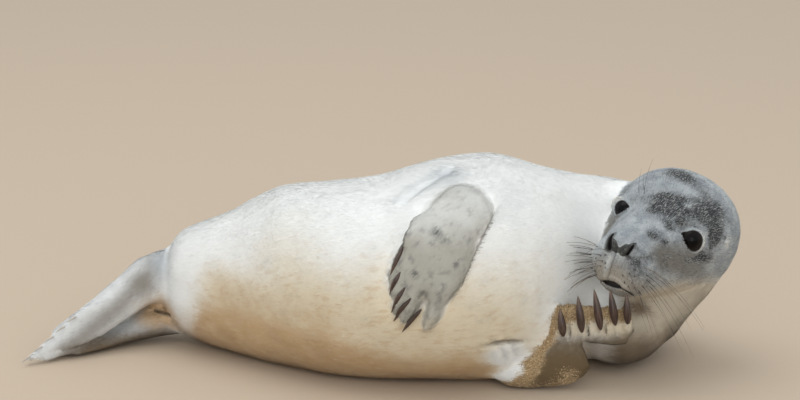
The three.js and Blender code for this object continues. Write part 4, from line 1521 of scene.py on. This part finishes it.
wet_eye = eye_material()
CORNEA_EDGE = 34
for side, node in ((1, "eye_left"), (-1, "eye_right")):
    ways, faces = sphere(72, 48)
    look = unit(EYES[side]["look"])
    across = unit(np.cross((0, 1, 0), look))
    ways = ways @ np.array([across, np.cross(look, across), look])
    tilt = np.degrees(np.arccos(np.clip(ways @ look, -1, 1)))
    radius = EYE_RADIUS - 0.15 + 0.9 * np.clip(1 - (tilt / CORNEA_EDGE) ** 2, 0, 1)
    surface = from_head(ways * radius[:, None] + mirrored(EYE_IN_HEAD, side))
    ball = new_object(f"seal_{node}", surface, faces)
    write_mask(ball.data, "ring", tilt / 90)
    shade_smooth(ball.data)
    ball.data.materials.append(wet_eye)
    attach(ball, "root")
    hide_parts(node)

# %% [markdown]
# ## Claws
#
# Each claw is a curved cone of horn with a rounded back, rooted under the fur of its toe. Its
# place, length and way come from its CAD node: the longest way through the node's points is
# the claw's own, and the thin end is its tip. On the upper flipper the CAD keeps only stubs of
# some claws, so those five have a root and a tip of their own. The horn is striped along its
# length and palest at the tip, so its material reads how far along the claw each point lies.

# %% The claws' material
def claw_material(name, dark, light, tip):
    material, tree, sockets = new_material(name)
    along = add_node(tree, "ShaderNodeAttribute", attribute_name="along").outputs["Fac"]
    around = add_node(tree, "ShaderNodeAttribute", attribute_name="grain").outputs["Vector"]
    stripes = noise(tree, around, 5, 3)
    horn = layer(tree, ramp(tree, stripes, 0.35, 0.68), colour(*dark), colour(*light))
    horn = layer(tree, sums(tree, "MULTIPLY", ramp(tree, along, 0.62, 1.0), 0.5), horn, colour(*tip))
    tree.links.new(horn, sockets["Base Color"])
    tree.links.new(sums(tree, "ADD", 0.28, sums(tree, "MULTIPLY", stripes, 0.25)), sockets["Roughness"])
    tree.links.new(bump(tree, stripes, 0.25), sockets["Normal"])
    return material


claw_horn = claw_material("claw_horn", (40, 29, 25), (88, 68, 58), (122, 100, 84))
pale_horn = claw_material("claw_horn_pale", (168, 161, 151), (196, 190, 180), (206, 200, 190))
skin_tree = BVHTree.FromPolygons((points * MM).tolist(), triangles.tolist())


def cone(along):
    return np.sqrt(np.clip(along / 0.10, 0, 1)) * (1 - along ** 2.2) ** 0.75


def spindle(along):
    return np.sin(np.pi * along ** 0.75) ** 0.75


def off_skin(path, heights, face):
    """Lifts a path's points along `face` where they lie lower over the skin than the heights given."""
    lifted = np.array(path)
    for _ in range(4):
        lifted[1:-1] = (lifted[:-2] + 2 * lifted[1:-1] + lifted[2:]) / 4
        for spot, height in zip(lifted, heights):
            seat = skin_tree.ray_cast(Vector((spot + face * 20) * MM), Vector(-face), 40 * MM)[0]
            over = height if seat is None else float((spot - np.array(seat) / MM) @ face)
            spot += face * np.clip(height - over, 0, 10)
    return lifted


def claw_shape(root, tip, width, arch, profile, face, sides=16, rings=22):
    """A curved horn from under the skin at its root to its tip, its back arched off the skin."""
    forward = unit(tip - root)
    length = np.linalg.norm(tip - root)
    off = unit(face - forward * (face @ forward))
    across = np.cross(forward, off)
    along = np.linspace(0, 1, rings)
    thick = profile(along)
    turns = np.linspace(0, 2 * math.pi, sides, endpoint=False)
    body, marks, grains = [], [], []
    rises = arch * length * np.sin(np.pi * np.minimum(1, along * 0.96 + 0.04)) - 0.24 * width * along
    middles = root + forward * (length * along)[:, None] + off * rises[:, None]
    middles = off_skin(middles, width * (-0.7 + 1.2 * soft_step(along, 0.0, 0.35)), face)
    for share, size, middle in zip(along, thick, middles):
        for turn in turns:
            ridge = 1 + 0.12 * max(0, math.sin(turn)) ** 4
            aside = width * size * math.cos(turn)
            upward = 0.9 * width * size * ridge * math.sin(turn)
            body.append(middle + across * aside + off * upward)
            marks.append(share)
            grains.append((math.cos(turn), math.sin(turn), share * 0.6))
    return np.array(body), ring_faces(rings, sides), marks, grains


UPPER_CLAWS = [  # root and tip of each claw on the upper flipper
    ((56, -178, 135), (30, -169, 100)),
    ((42, -177, 150), (19, -160, 112)),
    ((34, -174, 164), (16, -162, 125)),
    ((28, -166, 183), (14, -160, 149)),
    ((32, -152, 215), (15, -158, 176)),
]
LOWER_SHIFT = [0, 3.4, 4.8, 2.8, 2.8]  # how far the fur's thickness moves each lower claw, in x
CLAW_SETS = {  # region, half width, arch, how far the root reaches back and the tip on, profile, material
    "claw_right": ("fore_right", 3.1, 0.05, 2, 1, spindle, claw_horn),
    "claw_left": ("fore_left", 5.6, 0.09, -12, 7, spindle, claw_horn),
    "hind_claw_right": ("hind_right", 1.5, 0.10, 3, 0, cone, pale_horn),
    "hind_claw_left": ("hind_left", 1.5, 0.10, 3, 0, cone, pale_horn),
}
for stem, (region, width, arch, reach_back, reach_on, profile, horn) in CLAW_SETS.items():
    for index in range(1, 6):
        node = f"{stem}_{index}"
        root, tip = claw_ends(node)
        if stem == "claw_right":
            root, tip = np.array(UPPER_CLAWS[index - 1], float)
        if stem == "claw_left":
            shift = np.array([LOWER_SHIFT[index - 1], 0, 0])
            root, tip = root + shift, tip + shift
        forward = unit(tip - root)
        root, tip = root - forward * reach_back, tip + forward * reach_on
        body, faces, marks, grains = claw_shape(root, tip, width, arch, profile, unit(FACE_WAYS[region]))
        claw = new_object(f"horn_{node}", body, faces)
        write_mask(claw.data, "along", marks)
        write_mask(claw.data, "grain", np.array(grains) + index * 3.1, "FLOAT_VECTOR")
        shade_smooth(claw.data)
        claw.data.materials.append(horn)
        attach(claw, "root")
        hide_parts(node)
print("claws made", 5 * len(CLAW_SETS))

# %% [markdown]
# ## Whiskers
#
# A seal feels its prey with its whiskers, so they are stiff and long. They stand in rows on
# the swollen upper lip, sweep out to the sides and curve down and back, and a few more rise
# from each brow. Each one is a thin tapering tube with its root in a follicle.

# %% Tubes along curves
def tube(path, start_radius, end_radius, sides=5):
    path = np.asarray(path)
    forward = unit(np.gradient(path, axis=0))
    across = unit(np.cross(forward, (0.31, 0.52, 0.79)))
    other = np.cross(forward, across)
    share = np.linspace(0, 1, len(path))
    radius = start_radius + (end_radius - start_radius) * share ** 0.8
    turns = np.linspace(0, 2 * math.pi, sides, endpoint=False)
    ring = (across[:, None] * np.cos(turns)[None, :, None] + other[:, None] * np.sin(turns)[None, :, None])
    body = (path[:, None] + ring * radius[:, None, None]).reshape(-1, 3)
    return body, ring_faces(len(path), sides)


def whisker(root, way, length, droop, sweep, steps=14):
    """A curve from a root: it starts along `way`, sags by droop and sweeps by the vector sweep."""
    share = np.linspace(0, 1, steps)[:, None]
    path = root + unit(way) * length * share
    sag = np.array([0, 0, -1.0]) * droop * length * share ** 2
    return path + sag + np.asarray(sweep) * length * share ** 2


# %% The whiskers of the lip and the brows
LIP_HAIR, BROW_HAIR, HAIR_TIP = 0.45, 0.38, 0.1  # a whisker's radius on the lip and brow, and at its tip
whisker_rng = np.random.default_rng(19)
whiskers = []
for side, root in follicle_roots:
    aside = abs(root[0])
    if whisker_rng.random() < (0.45 if side > 0 else 0.15) or aside < 19:
        continue
    reach = soft_step(aside, 18, 46)
    length = (30 + 58 * reach) * (0.8 + 0.35 * whisker_rng.random()) * (0.85 if side > 0 else 1.2)
    lower = (-root[1] - 45) / 40
    way = np.array([side * (0.75 + 0.4 * reach), 0.12 - 0.75 * lower, 0.62 - 0.5 * reach])
    way = way + 0.10 * whisker_rng.normal(size=3)
    sweep = HEAD_AXES.T @ np.array([0, 0, -0.22])
    start = from_head(root - unit(way) * 1.5)
    droop = (0.44 if side > 0 else 0.30) + 0.2 * whisker_rng.random()
    whiskers.append((whisker(start, HEAD_AXES.T @ way, length, droop, sweep), LIP_HAIR, HAIR_TIP))
BROW_WHISKERS = [  # root on the brow, way and length, for the animal's left; the right ones mirror it
    ((33, 30, 6), (0.15, 1.0, 0.35), 52),
    ((41, 27, 2), (0.3, 0.95, 0.3), 34),
    ((37, 34, 0), (0.35, 0.9, 0.5), 26),
]
brow_tree = BVHTree.FromPolygons(h.tolist(), triangles.tolist())
for side in (1, -1):
    for root, way, length in BROW_WHISKERS:
        seat = np.array(brow_tree.find_nearest(Vector(mirrored(root, side)))[0])
        start = from_head(seat)
        path = whisker(start, HEAD_AXES.T @ mirrored(way, side), length * (1.12 if side < 0 else 0.6), 0.03,
                       HEAD_AXES.T @ np.array([-0.1 * side, 0, -0.16]))
        whiskers.append((path, BROW_HAIR, HAIR_TIP))
all_whiskers = new_object("whiskers", *joined([tube(path, start, end) for path, start, end in whiskers]))
shade_smooth(all_whiskers.data)
whisker_finish, tree, sockets = new_material("whisker_finish", Roughness=0.4)
shades = noise(tree, add_node(tree, "ShaderNodeTexCoord").outputs["Object"], 60, 2)
whisker_colour = layer(tree, ramp(tree, shades, 0.4, 0.62), colour(52, 46, 42), colour(128, 116, 100))
tree.links.new(whisker_colour, sockets["Base Color"])
all_whiskers.data.materials.append(whisker_finish)
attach(all_whiskers, "root")
print("whiskers", len(whiskers))

# %% [markdown]
# ## Grains of sand
#
# The lower flipper has dug in wet sand, and grains cling to its edge and to the fur between
# its claws. Each grain is an eight-sided crystal about a millimetre wide, half sunk in the
# fur, and all of them are one mesh.

# %% Scatter the grains
GRAINS = 5200
sand_weight = areas * np.clip(sand_crust - 0.25, 0, 1)[triangles].mean(axis=1)
grain_rng = np.random.default_rng(23)
picked = grain_rng.choice(len(triangles), GRAINS, p=sand_weight / sand_weight.sum())
weights = grain_rng.dirichlet((1, 1, 1), GRAINS)
grain_at = np.einsum("ij,ijk->ik", weights, points[triangles[picked]])
grain_off = unit(np.einsum("ij,ijk->ik", weights, normals[triangles[picked]]))
size = 0.35 + 0.5 * grain_rng.random(GRAINS) ** 2
grain_at = grain_at + grain_off * (0.6 * size + 0.35)[:, None]
grain_at[:, 2] = np.maximum(grain_at[:, 2], 1.0)
OCTAHEDRON = np.array([(1, 0, 0), (-1, 0, 0), (0, 1, 0), (0, -1, 0), (0, 0, 1), (0, 0, -1)], float)
UPPER_FACES = [(0, 2, 4), (2, 1, 4), (1, 3, 4), (3, 0, 4)]
OCTAHEDRON_FACES = np.array(UPPER_FACES + [(2, 0, 5), (1, 2, 5), (3, 1, 5), (0, 3, 5)])
jitter = 1 + 0.35 * grain_rng.normal(size=(GRAINS, 6, 1)).clip(-1, 1)
grain_points = grain_at[:, None] + OCTAHEDRON[None] * jitter * size[:, None, None]
grain_faces = (np.arange(GRAINS)[:, None, None] * 6 + OCTAHEDRON_FACES[None]).reshape(-1, 3)
grains = new_object("sand_grains", grain_points.reshape(-1, 3), grain_faces)
write_mask(grains.data, "tone", np.repeat(grain_rng.random(GRAINS), 6))
sand_finish, tree, sockets = new_material("sand_grain_finish", Roughness=0.55)
tone = add_node(tree, "ShaderNodeAttribute", attribute_name="tone").outputs["Fac"]
sand_colour = layer(tree, tone, colour(150, 118, 80), colour(232, 208, 168))
tree.links.new(sand_colour, sockets["Base Color"])
grains.data.materials.append(sand_finish)
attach(grains, "root")
